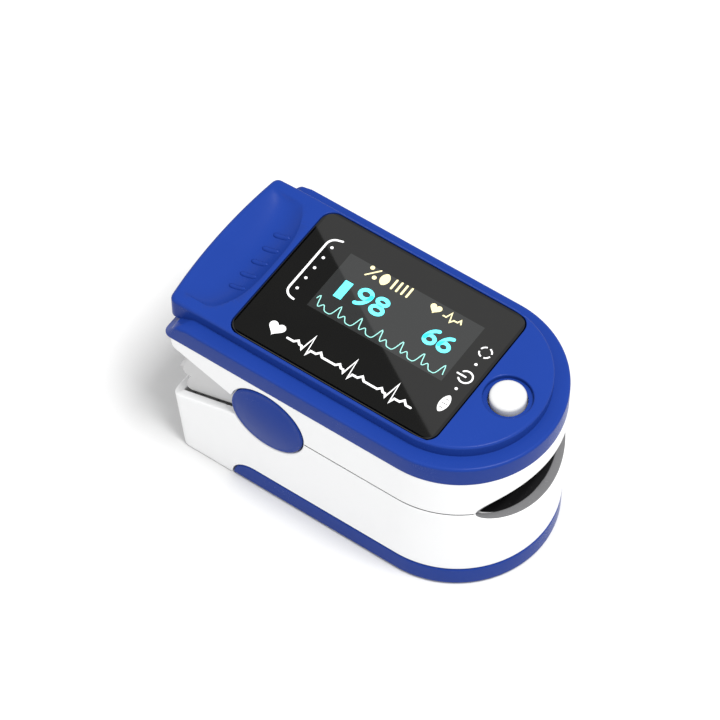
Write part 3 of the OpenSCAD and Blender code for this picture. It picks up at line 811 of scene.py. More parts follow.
curb_in = 1.4
curb_out = 2.4
curb_high = 5.3
curb_low = floor_t + cover_gap
curb_top = band_high + 0.35
curb_root = wall - 0.05
nose_points = grid(0, arc_end, band_high, lower_seam_z, 0.7, 2.6)
corner_points = grid(side_end - lean_run, corner_end, 0, apex_z, 0.4, 1.5)
shape = bmesh.new()
add_sheet(shape, [lower_line], *skin(lower_wall, wall), inner=nose_points + corner_points)
curb = [(curb_in, curb_low), (curb_in, curb_top), (curb_root, curb_top), (curb_root, curb_high)]
add_band(shape, curb + [(curb_out, curb_high), (curb_out, curb_low)], lower_wall)
mirror_copy(shape)
print(f"lower wall and curb: {len(shape.faces)} faces")


# %% Floor, screw boss and lanyard eye
def plan_loop(inset, y_end, edge, steps=60, corner=0.5):
    """The plan as seen from above, anticlockwise, with small rear corners."""
    half = half_w - inset
    front = [math.pi * k / steps for k in range(steps + 1)]
    loop = [(-half * math.cos(a), front_y - half * math.sin(a), edge) for a in front]
    for a in quarter:
        loop.append((half - corner + corner * math.cos(a), y_end - corner + corner * math.sin(a), edge))
    for a in quarter:
        loop.append((-half + corner - corner * math.sin(a), y_end - corner + corner * math.cos(a), edge))
    return loop


rear_floor_y = cover_end + cover_gap
foot_y = shell_y - lean * lean_top - 0.1
foot_chamfer = 0.6
foot_half = half_w - wall
underside = 0.02
right_side = [(foot_half, rear_floor_y), (foot_half, foot_y - foot_chamfer)]
right_side += [(foot_half - foot_chamfer, foot_y - 0.1)]
rear_floor = [(-foot_half, rear_floor_y)] + right_side + [(-x, y) for x, y in right_side[:0:-1]]
add_sheet(shape, [with_radius(rear_floor, 0.15)], level(underside, 1), level(floor_t, -1), step=3)
screw_y = span("frame_screw")[0].y + 1.7
boss_in = 0.95
boss_out = 1.9
boss_low = 4.3
boss_high = 11.7
boss = [(boss_in, boss_low), (boss_out, boss_low), (boss_out, boss_high), (boss_in, boss_high)]
add_turned(shape, boss + boss[:1], upright(0, screw_y), 40)

eye_x = 10
eye_y = tail - 1.7
eye_low = 4
eye_high = 6
lug_root = 26.3
lug_edge = 0.2
bead = [(0.9, 0.25), (1.05, 0.05), (1.3, 0), (1.5, 0.05), (1.7, 0.3)]
eye = [(r, eye_low + h) for r, h in bead] + [(r, eye_high - h) for r, h in bead[::-1]]
add_turned(shape, eye + eye[:1], upright(eye_x, eye_y), 40)
lug = [(eye_x - 1.7, lug_root), (eye_x + 1.7, lug_root), (eye_x + 1.65, eye_y - 0.2)]
lug += [(eye_x + 1.1, eye_y - 0.9), (eye_x, eye_y - 1.2)]
lug += [(eye_x - 1.1, eye_y - 0.9), (eye_x - 1.65, eye_y - 0.2)]
faces = (level(eye_high, -1), level(eye_low, 1))
add_sheet(shape, [with_radius(lug, lug_edge)], *faces, back_edge=lug_edge)
lower_shell = finished("lower_white_shell", shape, shell_white)
fitted(lower_shell, "lower_jaw", "white_shell", "lower_housing")

# %% [markdown]
# ## The blue top cover
#
# The cover has a rim that continues the white wall upwards, and a platform that stands
# 2.1 mm above the rim and ends behind in a push tab. The rim is a profile carried round the
# plan, so its top edge gets an even fillet; behind, it leans forward and its ledge rounds
# off. The platform is a sheet whose upper face follows a height function: that is where the
# thumb scoop is pressed in, with a crisp front edge and a soft run-out to the rear.

# %% Rim of the cover
rim_z = top_z - 2.1
rim_end = tail - 1.1
rim_lean = math.tan(math.radians(21))
ledge_round = 3.8
ledge_start = 23.5
rim_run = 8
tab_low = rim_z - 0.2
tab_under = top_z - 4.2
tab_from = 21
tab_fade = 1.2
step_in = 2.4


def rim_place(s, z, inset):
    x, y, _ = around(s, z, inset)
    share = min(1, max(0, (s - side_end + rim_run) / rim_run))
    y += share * (rim_end - shell_y - rim_lean * (z - lid_z))
    past = min(max(0, y - ledge_start), ledge_round * 0.95)
    drop = ledge_round - math.sqrt(ledge_round ** 2 - past ** 2)
    return (x, y, lid_z + (z - lid_z) * (1 - drop / (rim_z - lid_z)))


rim_edge = 0.45
rim_profile = [(0.12, lid_z), (0, lid_z + 0.12)]
rim_profile += [(rim_edge * (1 - math.cos(a)), rim_z - rim_edge * (1 - math.sin(a))) for a in quarter]
rim_in = step_in + 0.6
rim_t = 1.5
rim_profile += [(rim_in, rim_z), (rim_in, rim_z - rim_t), (rim_t, rim_z - rim_t), (rim_t, lid_z)]

print(f"the rim's profile has {len(rim_profile)} points")

# %% [markdown]
# The scoop's depth is the product of two curves, an ellipse across and a skewed half sine
# along, so it fades to nothing at its outline and needs no cutting.

# %% Scoop and push tab
scoop_front = 19.4
scoop_half = 11.6
scoop_bow = 3.1
scoop_margin = 0.75
tab_r = 95
scoop_deep = 2.1


def scoop_edge(x):
    """Where the scoop begins: nearly straight in the middle, swept back at the sides."""
    return scoop_front + scoop_bow * abs(x / scoop_half) ** 3.4


def tab_line(x):
    """The rear edge of the tab, a shallow arc."""
    return tail - tab_r + math.sqrt(tab_r ** 2 - x ** 2)


def platform_top(x, y):
    if abs(x) >= scoop_half:
        return top_z
    behind = (y - scoop_edge(x)) / (tab_line(x) - scoop_margin - scoop_edge(x))
    if not 0 < behind < 1:
        return top_z
    across = math.sqrt(1 - (x / scoop_half) ** 2)
    return top_z - scoop_deep * across * math.sin(math.pi * behind ** 0.88)


def platform_low(y):
    """The underside: behind the window it reaches down to the ledge and forms the push tab."""
    down = min(1.0, max(0.0, (y - tab_from) / tab_fade))
    return tab_low + (tab_under - tab_low) * down


print(f"the scoop is {scoop_deep} mm deep, the cover's rim lies {top_z - rim_z:.1f} mm below its top")


# %% Outlines seen from above
def rounded(corners, steps=7):
    """A closed outline with its corners rounded; each corner is (u, v, radius, edge)."""
    line = []
    for i, (u, v, radius, edge) in enumerate(corners):
        here = Vector((u, v))
        to_last = (Vector(corners[i - 1][:2]) - here).normalized()
        to_next = (Vector(corners[(i + 1) % len(corners)][:2]) - here).normalized()
        if radius == 0:
            line.append((u, v, edge))
            continue
        half = to_last.angle(to_next) / 2
        reach = radius / math.tan(half)
        middle = here + (to_last + to_next).normalized() * radius / math.sin(half)
        first = here + to_last * reach - middle
        last = here + to_next * reach - middle
        turn = math.atan2(first.cross(last), first.dot(last))
        for k in range(steps + 1):
            spot = middle + rotated(first, turn * k / steps)
            line.append((spot.x, spot.y, edge))
    return line


def rectangle(x0, x1, y0, y1, radius, edge):
    return rounded([(x, y, radius, edge) for x, y in ((x0, y0), (x1, y0), (x1, y1), (x0, y1))])


def circle(x, y, radius, edge=0.0, steps=48):
    angles = [2 * math.pi * k / steps for k in range(steps)]
    return [(x + radius * math.cos(a), y + radius * math.sin(a), edge) for a in angles]


print("a rounded square has", len(rectangle(0, 1, 0, 1, 0.2, 0)), "points")

# %% Platform, window and button ring
platform_edge = 0.42
tab_edge = 0.7
tab_corner_r = 1.2
platform_half = half_w - step_in
side_y = 20
side_top = [(-platform_half, side_y, 0, platform_edge)]
for k in range(65):
    a = math.pi * k / 64
    side_top += [(-platform_half * math.cos(a), front_y - platform_half * math.sin(a), 0, platform_edge)]
growing = [(side_y, platform_edge), (23, 0.5), (25, 0.6), (26.5, tab_edge)]
side_top += [(platform_half, y, 0, edge) for y, edge in growing]
side_top += [(platform_half, tab_line(platform_half), tab_corner_r, tab_edge)]
side_top += [(x, tab_line(x), 0, tab_edge) for x in np.linspace(11, -11, 23)]
side_top += [(-platform_half, tab_line(platform_half), tab_corner_r, tab_edge)]
side_top += [(-platform_half, y, 0, edge) for y, edge in growing[:0:-1]]
platform_line = rounded(side_top)

window_low, window_high = span("display_window")
window_r = 2.2
window_slot = 0.14


def window_outline(grow, edge):
    """The window's outline, wider by a gap all round."""
    across = (window_low.x - grow, window_high.x + grow)
    along = (window_low.y - grow, window_high.y + grow)
    return rectangle(*across, *along, window_r, edge)


button_low, button_high = span("power_button")
button_y = (button_low.y + button_high.y) / 2
ring_r = 3.7
ring_deep = 0.8
cap_r = 2.75
cap_hole = cap_r + 0.2
print(f"the platform's outline has {len(platform_line)} points")

# %% Blue top cover
scoop_rows = [0, 0.015, 0.04, 0.07, 0.11, 0.16, 0.22, 0.29, 0.37, 0.46, 0.56, 0.66, 0.76, 0.86, 0.94]
scoop_points = []
for x in np.arange(-11.5, 11.51, 0.25):
    reach = tab_line(x) - scoop_margin - scoop_edge(x)
    scoop_points += [(x, scoop_edge(x) + share * reach) for share in scoop_rows]
shape = bmesh.new()
add_band(shape, rim_profile, rim_place)
mirror_copy(shape)
add_sheet(
    shape,
    [platform_line, window_outline(window_slot, 0.12)[::-1], circle(0, button_y, ring_r, 0.25, 72)[::-1]],
    lambda u, v, d: (u, v, platform_top(u, v) - d),
    lambda u, v, d: (u, v, platform_low(v) + d),
    inner=scoop_points + grid(-13, 13, 20.5, 27, 0.9, 0.6),
    back_edge=0.3,
    gap=0.15,
)
ring_low = top_z - 1.78
ring_high = top_z - ring_deep
ring_out = ring_r + 0.2
ring_floor = [(cap_hole, ring_high), (ring_out, ring_high), (ring_out, ring_low), (cap_hole, ring_low)]
add_turned(shape, ring_floor + ring_floor[:1], upright(0, button_y))
top_cover = finished("blue_top_cover", shape, royal_blue, sharp=50)
fitted(top_cover, "upper_jaw", "blue_cover", "top_cover")

# %% [markdown]
# The push tab has a raised grip where the thumb starts: five short bars, each a pill that
# is laid on the scoop by adding the height function to it.

# %% Grip bars in the scoop
grip_places = [-5.6, -2.8, 0, 2.8, 5.6]
grip_front = scoop_front + 1.1
grip_long = 3.0
grip_wide = 0.42
grip_high = 0.8


def add_pill(shape, x, y):
    """A bar along y with round ends, laid on the scoop."""
    rings = []
    for k in range(17):
        t = -1 + k / 8
        size = grip_wide * math.sqrt(max(0.02, 1 - abs(t) ** 6))
        here = y + t * grip_long / 2
        ring = []
        for j in range(12):
            a = 2 * math.pi * j / 12
            px = x + size * math.cos(a)
            ring.append((px, here, platform_top(px, here) + grip_high * size * math.sin(a)))
        rings.append(ring)
    add_swept(shape, rings)


shape = bmesh.new()
for grip_x in grip_places:
    add_pill(shape, grip_x, grip_front + grip_long / 2)
grip = finished("thumb_grip_bars", shape, royal_blue)
fitted(grip, "upper_jaw", "blue_cover")

# %% [markdown]
# ## The window and what it shows
#
# The window is smoked acrylic: nearly black, polished, with a blacker printed border. The
# lit screen behind it is a slightly lighter rectangle of fine dots. Everything printed or
# lit is a thin plate of its own on the window, with the same polish, so that the glare runs
# over it unbroken. Only digits and generic pictograms are drawn.

# %% Window finishes
def polished(name, colour, **uniform):
    """Hard-coated acrylic: mirror smooth but for a few soft smears."""
    finish = Finish(name, colour, 0.03, **uniform)
    smear = finish.noise(6.0, detail=2.0, stretch=(1, 0.35, 1))
    finish.feed("Roughness", 0.004 + 0.02 * smear)
    return finish


def smoked_window():
    finish = polished("smoked_acrylic", (0.006, 0.006, 0.006))
    middle = (window_low + window_high) / 2
    border = 0.45
    beyond_x = (finish.along("X") - middle.x).size() - ((window_high.x - window_low.x) / 2 - border)
    beyond_y = (finish.along("Y") - middle.y).size() - ((window_high.y - window_low.y) / 2 - border)
    edge = beyond_x.larger(beyond_y) > 0
    smoke = finish.noise(5.0)
    tinted = finish.mix(smoke, (0.0072, 0.0072, 0.007), (0.0085, 0.0085, 0.0082))
    finish.feed("Base Color", finish.mix(edge, tinted, (0.001, 0.001, 0.0012)))
    return finish.material


def dots(finish, pitch=0.16, gap=0.2):
    """1 on each dot of the screen and 0 on the lines between them."""
    across = finish.along("X").wrapped(pitch) > pitch * gap
    down = finish.along("Y").wrapped(pitch) > pitch * gap
    return across * down


def screen(name, colour, dark, glow):
    finish = polished(name, colour, Emission_Strength=glow)
    lit = finish.mix(dots(finish), dark, colour)
    finish.feed("Base Color", lit)
    finish.feed("Emission Color", lit)
    return finish.material


def ink(name, colour):
    finish = polished(name, colour)
    patchy = finish.noise(0.5, detail=1.0)
    finish.feed("Base Color", finish.mix(patchy, [c * 0.94 for c in colour], colour))
    return finish.material


smoked = smoked_window()
screen_dark = screen("screen_unlit", (0.026, 0.027, 0.027), (0.02, 0.021, 0.021), 0.0)
lit_cyan = screen("screen_cyan", (0.13, 0.85, 0.9), (0.07, 0.55, 0.6), 0.62)
lit_pale = screen("screen_pale_cyan", (0.3, 0.66, 0.6), (0.2, 0.46, 0.42), 0.25)
lit_cream = screen("screen_cream", (0.8, 0.72, 0.4), (0.6, 0.52, 0.3), 0.25)
white_ink = ink("white_ink", (0.8, 0.8, 0.8))
print("window finishes:", smoked.name, screen_dark.name, lit_cyan.name, white_ink.name)

# %% [markdown]
# Smoothed normals at the window's rim would bend everything that it mirrors, so its faces
# are shaded flat and the modifier that weights the normals is taken off again.

# %% Tinted window
window_edge = 0.16
shape = bmesh.new()
faces = (level(window_high.z, -1), level(window_low.z, 1))
add_sheet(shape, [window_outline(0, window_edge)], *faces, step=1.5)
window = finished("smoked_window", shape, smoked, sharp=10)
for face in window.data.polygons:
    face.use_smooth = False
window.modifiers.clear()
fitted(window, "upper_jaw", "tinted_window", "display_window")


# %% [markdown]
# A printed line is an outline offset to both sides of a path. Rings and zigzags come from
# the same helper, and the plates are only a few hundredths of a millimetre thick.

# %% Printed lines and plates
print_low = window_high.z - 0.02
screen_high = window_high.z + 0.008
print_high = window_high.z + 0.02


def stroke(points, width, round_ends=True):
    """The outline of a line drawn along points, with mitred bends and round ends."""
    points = [Vector(p) for p in points]
    sides = [[], []]
    for i, here in enumerate(points):
        before = (here - points[i - 1]).normalized() if i else (points[1] - here).normalized()
        after = (points[i + 1] - here).normalized() if i + 1 < len(points) else before
        normal = Vector((-before.y - after.y, before.x + after.x)).normalized()
        reach = width / 2 / max(0.5, normal.dot(Vector((-before.y, before.x))))
        sides[0].append(here - normal * reach)
        sides[1].append(here + normal * reach)
    caps = []
    for centre, edge in ((points[-1], sides[0][-1]), (points[0], sides[1][0])):
        arm = edge - centre
        turns = [math.pi * k / 6 for k in range(1, 6)] if round_ends else []
        caps.append([centre + rotated(arm, a) for a in turns])
    return [(p.x, p.y, 0) for p in sides[0] + caps[0] + sides[1][::-1] + caps[1]]


print(f"a straight stroke has {len(stroke([(0, 0), (1, 0)], 0.2))} points")


# %% Printed and lit plates
def printed(name, material, slot, *plates, high=print_high):
    """Thin plates on the window; a plate is an outline, or a list of them where it has holes."""
    shape = bmesh.new()
    faces = (level(high, -1), level(print_low, 1))
    for plate in plates:
        loops = plate if isinstance(plate[0], list) else [plate]
        add_sheet(shape, loops, *faces, step=2.5, back_edge=0, edge_steps=0)
    fitted(finished(name, shape, material), "upper_jaw", slot)


def inked(name, *plates):
    printed(f"printed_{name}", white_ink, "tinted_window", *plates)


def lit(name, material, *plates):
    printed(name, material, "display_glass", *plates)


def dot(x, y, radius):
    return circle(x, y, radius, 0, 20)


def from_tip(y):
    return tip + y


screen_line = rectangle(-3.2, 8.1, from_tip(17.1), from_tip(40.7), 0.1, 0)
printed("lit_screen", screen_dark, "display_glass", screen_line, high=screen_high)

# %% [markdown]
# The marks round the screen are read with the nose to the right, so their tops point to +x.
# Places along the window are given as distances from the tip.

# %% Bracket, level dots and status marks
line_w = 0.34
bracket_r = 1.5
bracket_y = from_tip(44.7) - bracket_r
bracket_foot = from_tip(42.9)
bracket = [(9.15, bracket_foot)] + arc_points(7.5, bracket_y, bracket_r, 10, 90, 8)
bracket += arc_points(-1.9, bracket_y, bracket_r, 90, 170, 8) + [(-3.45, bracket_foot)]
inked("bracket", stroke(bracket, line_w))
inked("level_dots", *[dot(x, from_tip(43.6), 0.25) for x in np.linspace(-1.53, 7.34, 5)])

icon_y = from_tip(14.6)
cycle_x = 4.5
power_x = -0.68
dimmer_x = -6.2
quarters = [arc_points(cycle_x, icon_y, 0.94, a + 14, a + 76, 8) for a in (0, 90, 180, 270)]
inked("cycle_mark", *[stroke(line, 0.24, False) for line in quarters])
power_arc = stroke(arc_points(power_x, icon_y, 1.05, 130, 410, 32), 0.27)
power_bar = stroke([(power_x, icon_y), (power_x, icon_y + 1.4)], 0.27)
inked("power_mark", power_arc, power_bar)
inked("spacer_dots", *[dot(x, icon_y, 0.24) for x in (2.0, -3.11)])


def leaf(x, y, long, wide, steps=16):
    """A pointed oval along x, as the mark for a dimmed screen."""
    angles = [math.pi * k / steps for k in range(steps + 1)]
    side = [(x + long / 2 * math.cos(a), y + wide / 2 * math.sin(a) ** 1.3, 0) for a in angles]
    return side + [(2 * x - u, 2 * y - v, e) for u, v, e in side[1:-1]]


def slot_cut(x, y, half, width):
    return rectangle(x - width / 2, x + width / 2, y - half, y + half, 0, 0)[::-1]


vein_places = [(-7.0, 0.32), (dimmer_x, 0.5), (-5.4, 0.32)]
veins = [slot_cut(x, icon_y, half, 0.12) for x, half in vein_places]
inked("dimmer_mark", [leaf(dimmer_x, icon_y, 3.2, 1.5), *veins])


# %% Pulse drawing beside the screen
def heart(x, y, size, steps=48):
    """A heart whose top points to +x."""
    loop = []
    for k in range(steps):
        a = 2 * math.pi * k / steps
        across = 16 * math.sin(a) ** 3
        up = 13 * math.cos(a) - 5 * math.cos(2 * a) - 2 * math.cos(3 * a) - math.cos(4 * a)
        loop.append((x + up * size / 32, y - across * size / 32, 0))
    return loop


def anticlockwise(loop):
    area = sum(a[0] * b[1] - b[0] * a[1] for a, b in zip(loop, loop[1:] + loop[:1]))
    return loop if area > 0 else loop[::-1]


beat = [(0, 0), (1.1, 0), (1.6, 0.5), (2.1, 0), (2.5, 0), (2.8, -0.5), (3.3, 2.5), (3.8, -0.9)]
beat += [(4.1, 0), (5.0, 0), (5.5, 0.6), (6.1, 0), (6.9, 0)]
beat_pitch = 7.3
trace_x = -9.6
trace_start = from_tip(39.6)
trace = [(trace_x + up, trace_start - beat_pitch * n - along) for n in range(3) for along, up in beat]
pulse_mark = heart(trace_x + 0.5, from_tip(41.9), 2.7)
inked("pulse_drawing", anticlockwise(pulse_mark), stroke(trace, 0.36))

# %% [markdown]
# The readings are plain figures of even stroke: an oval bowl, and a hook that sweeps into
# it for 6 and 9. A font is another way, but drawing the three figures that are needed keeps
# every stroke the same width and the mesh clean.

# %% Figures of even stroke
def figure(kind, x0, x1, y_left, y_right, width):
    """A figure 6, 8 or 9 of even stroke, read along -y with its top towards +x."""
    tall = x1 - x0
    half = (y_left - y_right) / 2
    turn = -1 if kind == 9 else 1
    centre = Vector(((x0 + x1) / 2, (y_left + y_right) / 2))

    def spot(across, up):
        """across and up are measured in mm from the figure's centre."""
        return (centre.x + turn * up, centre.y - turn * across)

    def oval(up, reach_a, reach_u):
        loops = []
        for slim in (0, width):
            wide = reach_a - slim
            high = reach_u - slim
            angles = [2 * math.pi * k / 32 for k in range(32)]
            loop = [spot(wide * math.cos(a), up + high * math.sin(a)) for a in angles]
            loops.append(anticlockwise([(x, y, 0) for x, y in loop]))
        return [loops[0], loops[1][::-1]]

    if kind == 8:
        low = tall * 0.28
        high = tall * 0.25
        return [oval(low - tall / 2, half, low), oval(tall / 2 - high, half * 0.9, high)]
    low = tall * 0.31
    sweep = [math.radians(180 - 5 * k) for k in range(17)]
    wide = half * 1.75 - width / 2
    high = tall - low - width / 2
    hook = [spot(half * 0.75 + wide * math.cos(a), low - tall / 2 + high * math.sin(a)) for a in sweep]
    return [oval(low - tall / 2, half, low), anticlockwise(stroke(hook, width))]


print("an 8 is made of", len(figure(8, 0, 2, 1, 0, 0.2)), "rings")

# %% Lit digits and bar
figure_w = 0.64
oxygen = figure(9, 0.75, 4.35, from_tip(35.9), from_tip(33.35), figure_w)
oxygen += figure(8, 0.75, 4.35, from_tip(33.1), from_tip(30.55), figure_w)
lit("oxygen_digits", lit_cyan, *oxygen)
pulse = figure(6, 0.85, 4.1, from_tip(23.75), from_tip(21.5), figure_w * 0.94)
pulse += figure(6, 0.85, 4.1, from_tip(21.3), from_tip(19.05), figure_w * 0.94)
lit("pulse_digits", lit_cyan, *pulse)
bar = rectangle(0.3, 3.7, from_tip(37.2), from_tip(38.55), 0, 0)
lit("pulse_bar", lit_cyan, bar)


# %% Pulse wave
def pulse_wave(t):
    """One heart beat as a finger sensor sees it: a steep rise, a fall and a small echo."""
    t %= 1
    return math.exp(-((t - 0.22) / 0.11) ** 2) + 0.45 * math.exp(-((t - 0.58) / 0.12) ** 2)


wave_from = from_tip(40.2)
wave_to = from_tip(17.6)
wave_steps = 150
wave_beats = 6.2
wave_high = 2.1
wave_x = -2.75
wave = []
for k in range(wave_steps + 1):
    share = k / wave_steps
    height = wave_high * pulse_wave(wave_beats * share + 0.15)
    wave.append((wave_x + height, wave_from + share * (wave_to - wave_from)))
lit("pulse_wave", lit_pale, stroke(wave, 0.15))

# %% Marks beside the readings
drop = leaf(7.0, from_tip(33.9), 2.2, 1.5)
percent = [dot(7.75, from_tip(36.6), 0.36), dot(6.4, from_tip(35.4), 0.36)]
percent += [stroke([(6.1, from_tip(36.8)), (8.0, from_tip(35.2))], 0.24)]
dashes = [stroke([(6.2, from_tip(y)), (7.9, from_tip(y))], 0.34) for y in (32.3, 31.4, 30.5, 29.6)]
lit("oxygen_mark", lit_cream, drop, *percent, *dashes)
small_heart = anticlockwise(heart(6.9, from_tip(24.9), 1.9))
mini_beat = [(6.5, 23.3), (6.5, 22.8), (7.6, 22.4), (6.0, 21.9)]
mini_beat += [(6.6, 21.5), (6.6, 20.9), (7.2, 20.6), (6.6, 20.3)]
mini_trace = [(x, from_tip(y)) for x, y in mini_beat]
lit("pulse_rate_mark", lit_cream, small_heart, stroke(mini_trace, 0.24))

# %% [markdown]
# ## Button and hinge covers
#
# These are turned parts: a profile of radius and height is spun round an axis. The button is
# a shallow dome with a soft edge over a flange that keeps it in. The hinge covers close the
# ends of the pin, and their dome carries a narrow chamfer that catches the light.

# %% Power button
dome_edge = 0.55
button_side = button_high.z - 0.62
dome = [(cap_r - dome_edge * (1 - math.cos(a)), button_side + dome_edge * math.sin(a)) for a in quarter]
crown = button_high.z - dome[-1][1]
dome += [(dome[-1][0] * r, button_high.z - crown * r * r) for r in (0.75, 0.5, 0.25, 0)]
flange_high = button_low.z + 0.6
plunger_low = span("switch_plunger")[1].z
flange_r = 3.5
cap = [(0, plunger_low), (flange_r - 0.1, plunger_low), (flange_r, plunger_low + 0.1)]
cap += [(flange_r, flange_high), (cap_r, flange_high)]
shape = bmesh.new()
add_turned(shape, cap + dome, upright(0, button_y))
button = finished("white_power_button", shape, button_white, sharp=50)
fitted(button, "button", "button_white", "power_button")

# %% Hinge covers
disc_r = 6.35
disc_back = 0.3
disc_side = 1.42
disc_high = span("hinge_cover_right")[1].x - span("hinge_cover_right")[0].x
boss_r = 3.6
disc_profile = [(0, 0), (boss_r - 0.1, 0), (boss_r, 0.1), (boss_r, disc_back)]
disc_profile += [(disc_r - 0.15, disc_back), (disc_r, disc_back + 0.15), (disc_r, disc_side)]
disc_profile += [(disc_r - 0.06, disc_side + 0.16), (disc_r - 0.3, disc_side + 0.24)]
disc_profile += [(disc_r - 0.42, disc_side + 0.22)]
rise = disc_high - disc_profile[-1][1]
dome_r = 5.93
disc_profile += [(dome_r * r, disc_high - rise * r * r) for r in (0.9, 0.75, 0.6, 0.45, 0.3, 0.15, 0)]
disc_x = span("hinge_cover_right")[0].x
for side, name in BOTH_SIDES:
    shape = bmesh.new()
    add_turned(shape, disc_profile, lambda x, y, h: (side * (disc_x + h), hinge_y + x, hinge_z + y))
    disc = finished(f"blue_hinge_disc_{name}", shape, royal_blue, sharp=60)
    fitted(disc, "upper_jaw", "blue_cover", f"hinge_cover_{name}")

# %% [markdown]
# ## Battery cover
#
# The cover closes the whole underside: a side band that wraps the lower edge, and a floor
# with an arrow and four finger grooves. The grooves are pressed into the floor by a height
# function, as the scoop was. The cover slides forward off its rails.

# %% Blue battery cover
band_t = 1.2
band_edge = 0.6
groove_deep = 0.35
groove_half = 5.0
groove_first = tip + 9.4
groove_pitch = 1.6
groove_wide = 0.42
groove_fade = 0.6
arrow_tip = tip + 18.5
arrow_half = 3
arrow_wide = 0.7
arrow_deep = 0.3


def floor_low(x, y):
    """The underside with its grooves and a pressed arrow that points to the front."""
    depth = 0.0
    for n in range(4):
        off = abs(y - groove_first - n * groove_pitch)
        if off < groove_wide and abs(x) < groove_half:
            end = min(1.0, (groove_half - abs(x)) / groove_fade)
            depth = max(depth, groove_deep * end * math.cos(off / groove_wide * math.pi / 2))
    wing = abs(y - arrow_tip - abs(x))
    if abs(x) < arrow_half and wing < arrow_wide:
        depth = max(depth, arrow_deep * math.cos(wing / arrow_wide * math.pi / 2))
    return underside + depth


band_line = [(0, 0, band_edge)] + band_arc(band_high, 0.3) + [(0, band_high, SEAM)]
band_line[-2] = (s_at_y(nose_y), band_high, 0.3)
shape = bmesh.new()
add_sheet(shape, [band_line], *skin(around, band_t), inner=grid(0, arc_end, 0, band_high, 0.7, 1.4))
mirror_copy(shape)
groove_points = grid(-5.4, 5.4, groove_first - 0.6, groove_first + 5.4, 0.45, 0.14)
arrow_points = grid(-3.6, 3.6, arrow_tip - 1, arrow_tip + 4.4, 0.24, 0.24)
add_sheet(
    shape,
    [plan_loop(1.0, cover_end, 0.06)],
    lambda u, v, d: (u, v, floor_low(u, v) + d),
    level(floor_t, -1),
    inner=groove_points + arrow_points,
    step=0.9,
)
latch = rectangle(-1.5, 1.5, cover_end - 4, cover_end + 1.6, 0.4, 0.15)
add_sheet(shape, [latch], level(floor_t + 1, -1), level(floor_t + 0.2, 1))
latch_foot = rectangle(-1.45, 1.45, cover_end - 3.9, cover_end - 1.2, 0.3, 0.05)
add_sheet(shape, [latch_foot], level(floor_t + 0.5, -1), level(floor_t - 0.3, 1))
battery_cover = finished("blue_battery_cover", shape, royal_blue, sharp=50)
fitted(battery_cover, "battery_door", "blue_cover", "battery_cover")

# %% [markdown]
# ## Finger pads and lips
#
# Two silicone pads grip the fingertip. Each is a block whose face is a smooth trough with
# fine cross ribs, ending in a stop, with a round hole for the sensor's lens. Grey lips wrap
# the cut edges of the mouth. The pads are soft.
# The lips are grey silicone, and their grey is painted shade for the shade on those edges.

# %% Finger pads
pad_low, pad_high = span("lower_finger_pad")
pad_top = span("upper_finger_pad")[1].z
channel_end = tip + 31
sensor_y = (span("sensor_window")[0].y + span("sensor_window")[1].y) / 2
sensor_r = 2.5
trough_half = 11.7
rib_pitch = 1.5
rib_high = 0.07


def trough(x, y, height):
    """How far the channel's face lies from the seam at a place, with ribs and an end stop."""
    across = math.sqrt(max(0.0, 1 - (x / trough_half) ** 2))
    stop = min(1, max(0, (channel_end - y) / 1.6))
    stop = stop * stop * (3 - 2 * stop)
    rib = rib_high * math.cos(2 * math.pi * y / rib_pitch) * min(1.0, across * 2)
    return max(0.3, (height * across - rib * across) * stop)


def pad_face(side, height):
    return lambda u, v, d: (u, v, seam_z + side * (trough(u, v, height) + d))


trough_x = [trough_half * math.sin(math.radians(a)) for a in range(-84, 85, 7)]
pad_points = [(x, y) for y in np.arange(tip + 2, channel_end + 2, 0.375) for x in trough_x]
for name, side, height, back_z, node in (
    ("lower_silicone_pad", -1, mouth_down, pad_low.z, "lower_finger_pad"),
    ("upper_silicone_pad", 1, mouth_up, pad_top, "upper_finger_pad"),
):
    shape = bmesh.new()
    pad_line = plan_loop(wall + 0.15, pad_high.y, 0.25)
    lens_hole = circle(0, sensor_y, sensor_r, 0.2)[::-1]
    faces = (pad_face(side, height), level(back_z, -side))
    add_sheet(shape, [pad_line, lens_hole], *faces, inner=pad_points, step=0.8)
    pad = finished(name, shape, pad_black, sharp=50)
    fitted(pad, f"{name.split('_')[0]}_jaw", "black_silicone", node)

# %% Lips round the mouth
lip_t = 0.3
lip_long = 1.6
lip_steps = 72
lip_from = 3.5
lip_sweep = 173


def add_lip(shape, height):
    """A strip that follows the cut edge of the mouth from corner to corner."""
    profile = [(0.12, -0.05), (0.1, 0.12), (0.22, lip_t)]
    profile += [(lip_long - 0.2, lip_t), (lip_long, 0.1), (lip_long, -0.05)]
    side = 1 if height > 0 else -1
    rings = []
    for k in range(lip_steps + 1):
        t = math.radians(lip_from + lip_sweep * k / lip_steps)
        ring = []
        taper = 0.3 + 0.7 * math.sin(t)
        for depth, raised in profile:
            depth = profile[0][0] + (depth - profile[0][0]) * taper
            x = (mouth_half - raised) * math.cos(t)
            z = seam_z + (height - side * raised) * math.sin(t)
            px, py, _ = around(abs(s_at_x(abs(x))), z, depth)
            ring.append((math.copysign(px, x), py, z))
        rings.append(ring)
    add_swept(shape, rings)


seal_start = s_at_x(mouth_half) + 0.3
seal_end = s_at_y(hinge_y - disc_gap_r) - 0.15
seal_rings = []
seal_out = 0.14
seal_in = wall + 0.1
seal_low = lower_seam_z - 0.4
seal = [(seal_out, seal_low), (seal_out, seam_z), (seal_in, seam_z), (seal_in, seal_low)]
for s in np.linspace(seal_start, seal_end, 40):
    seal_rings.append([around(s, z, inset) for inset, z in seal])
shape = bmesh.new()
add_swept(shape, seal_rings)
mirror_copy(shape)
fitted(finished("lower_seam_seal", shape, pad_black, sharp=45), "lower_jaw", "black_silicone")
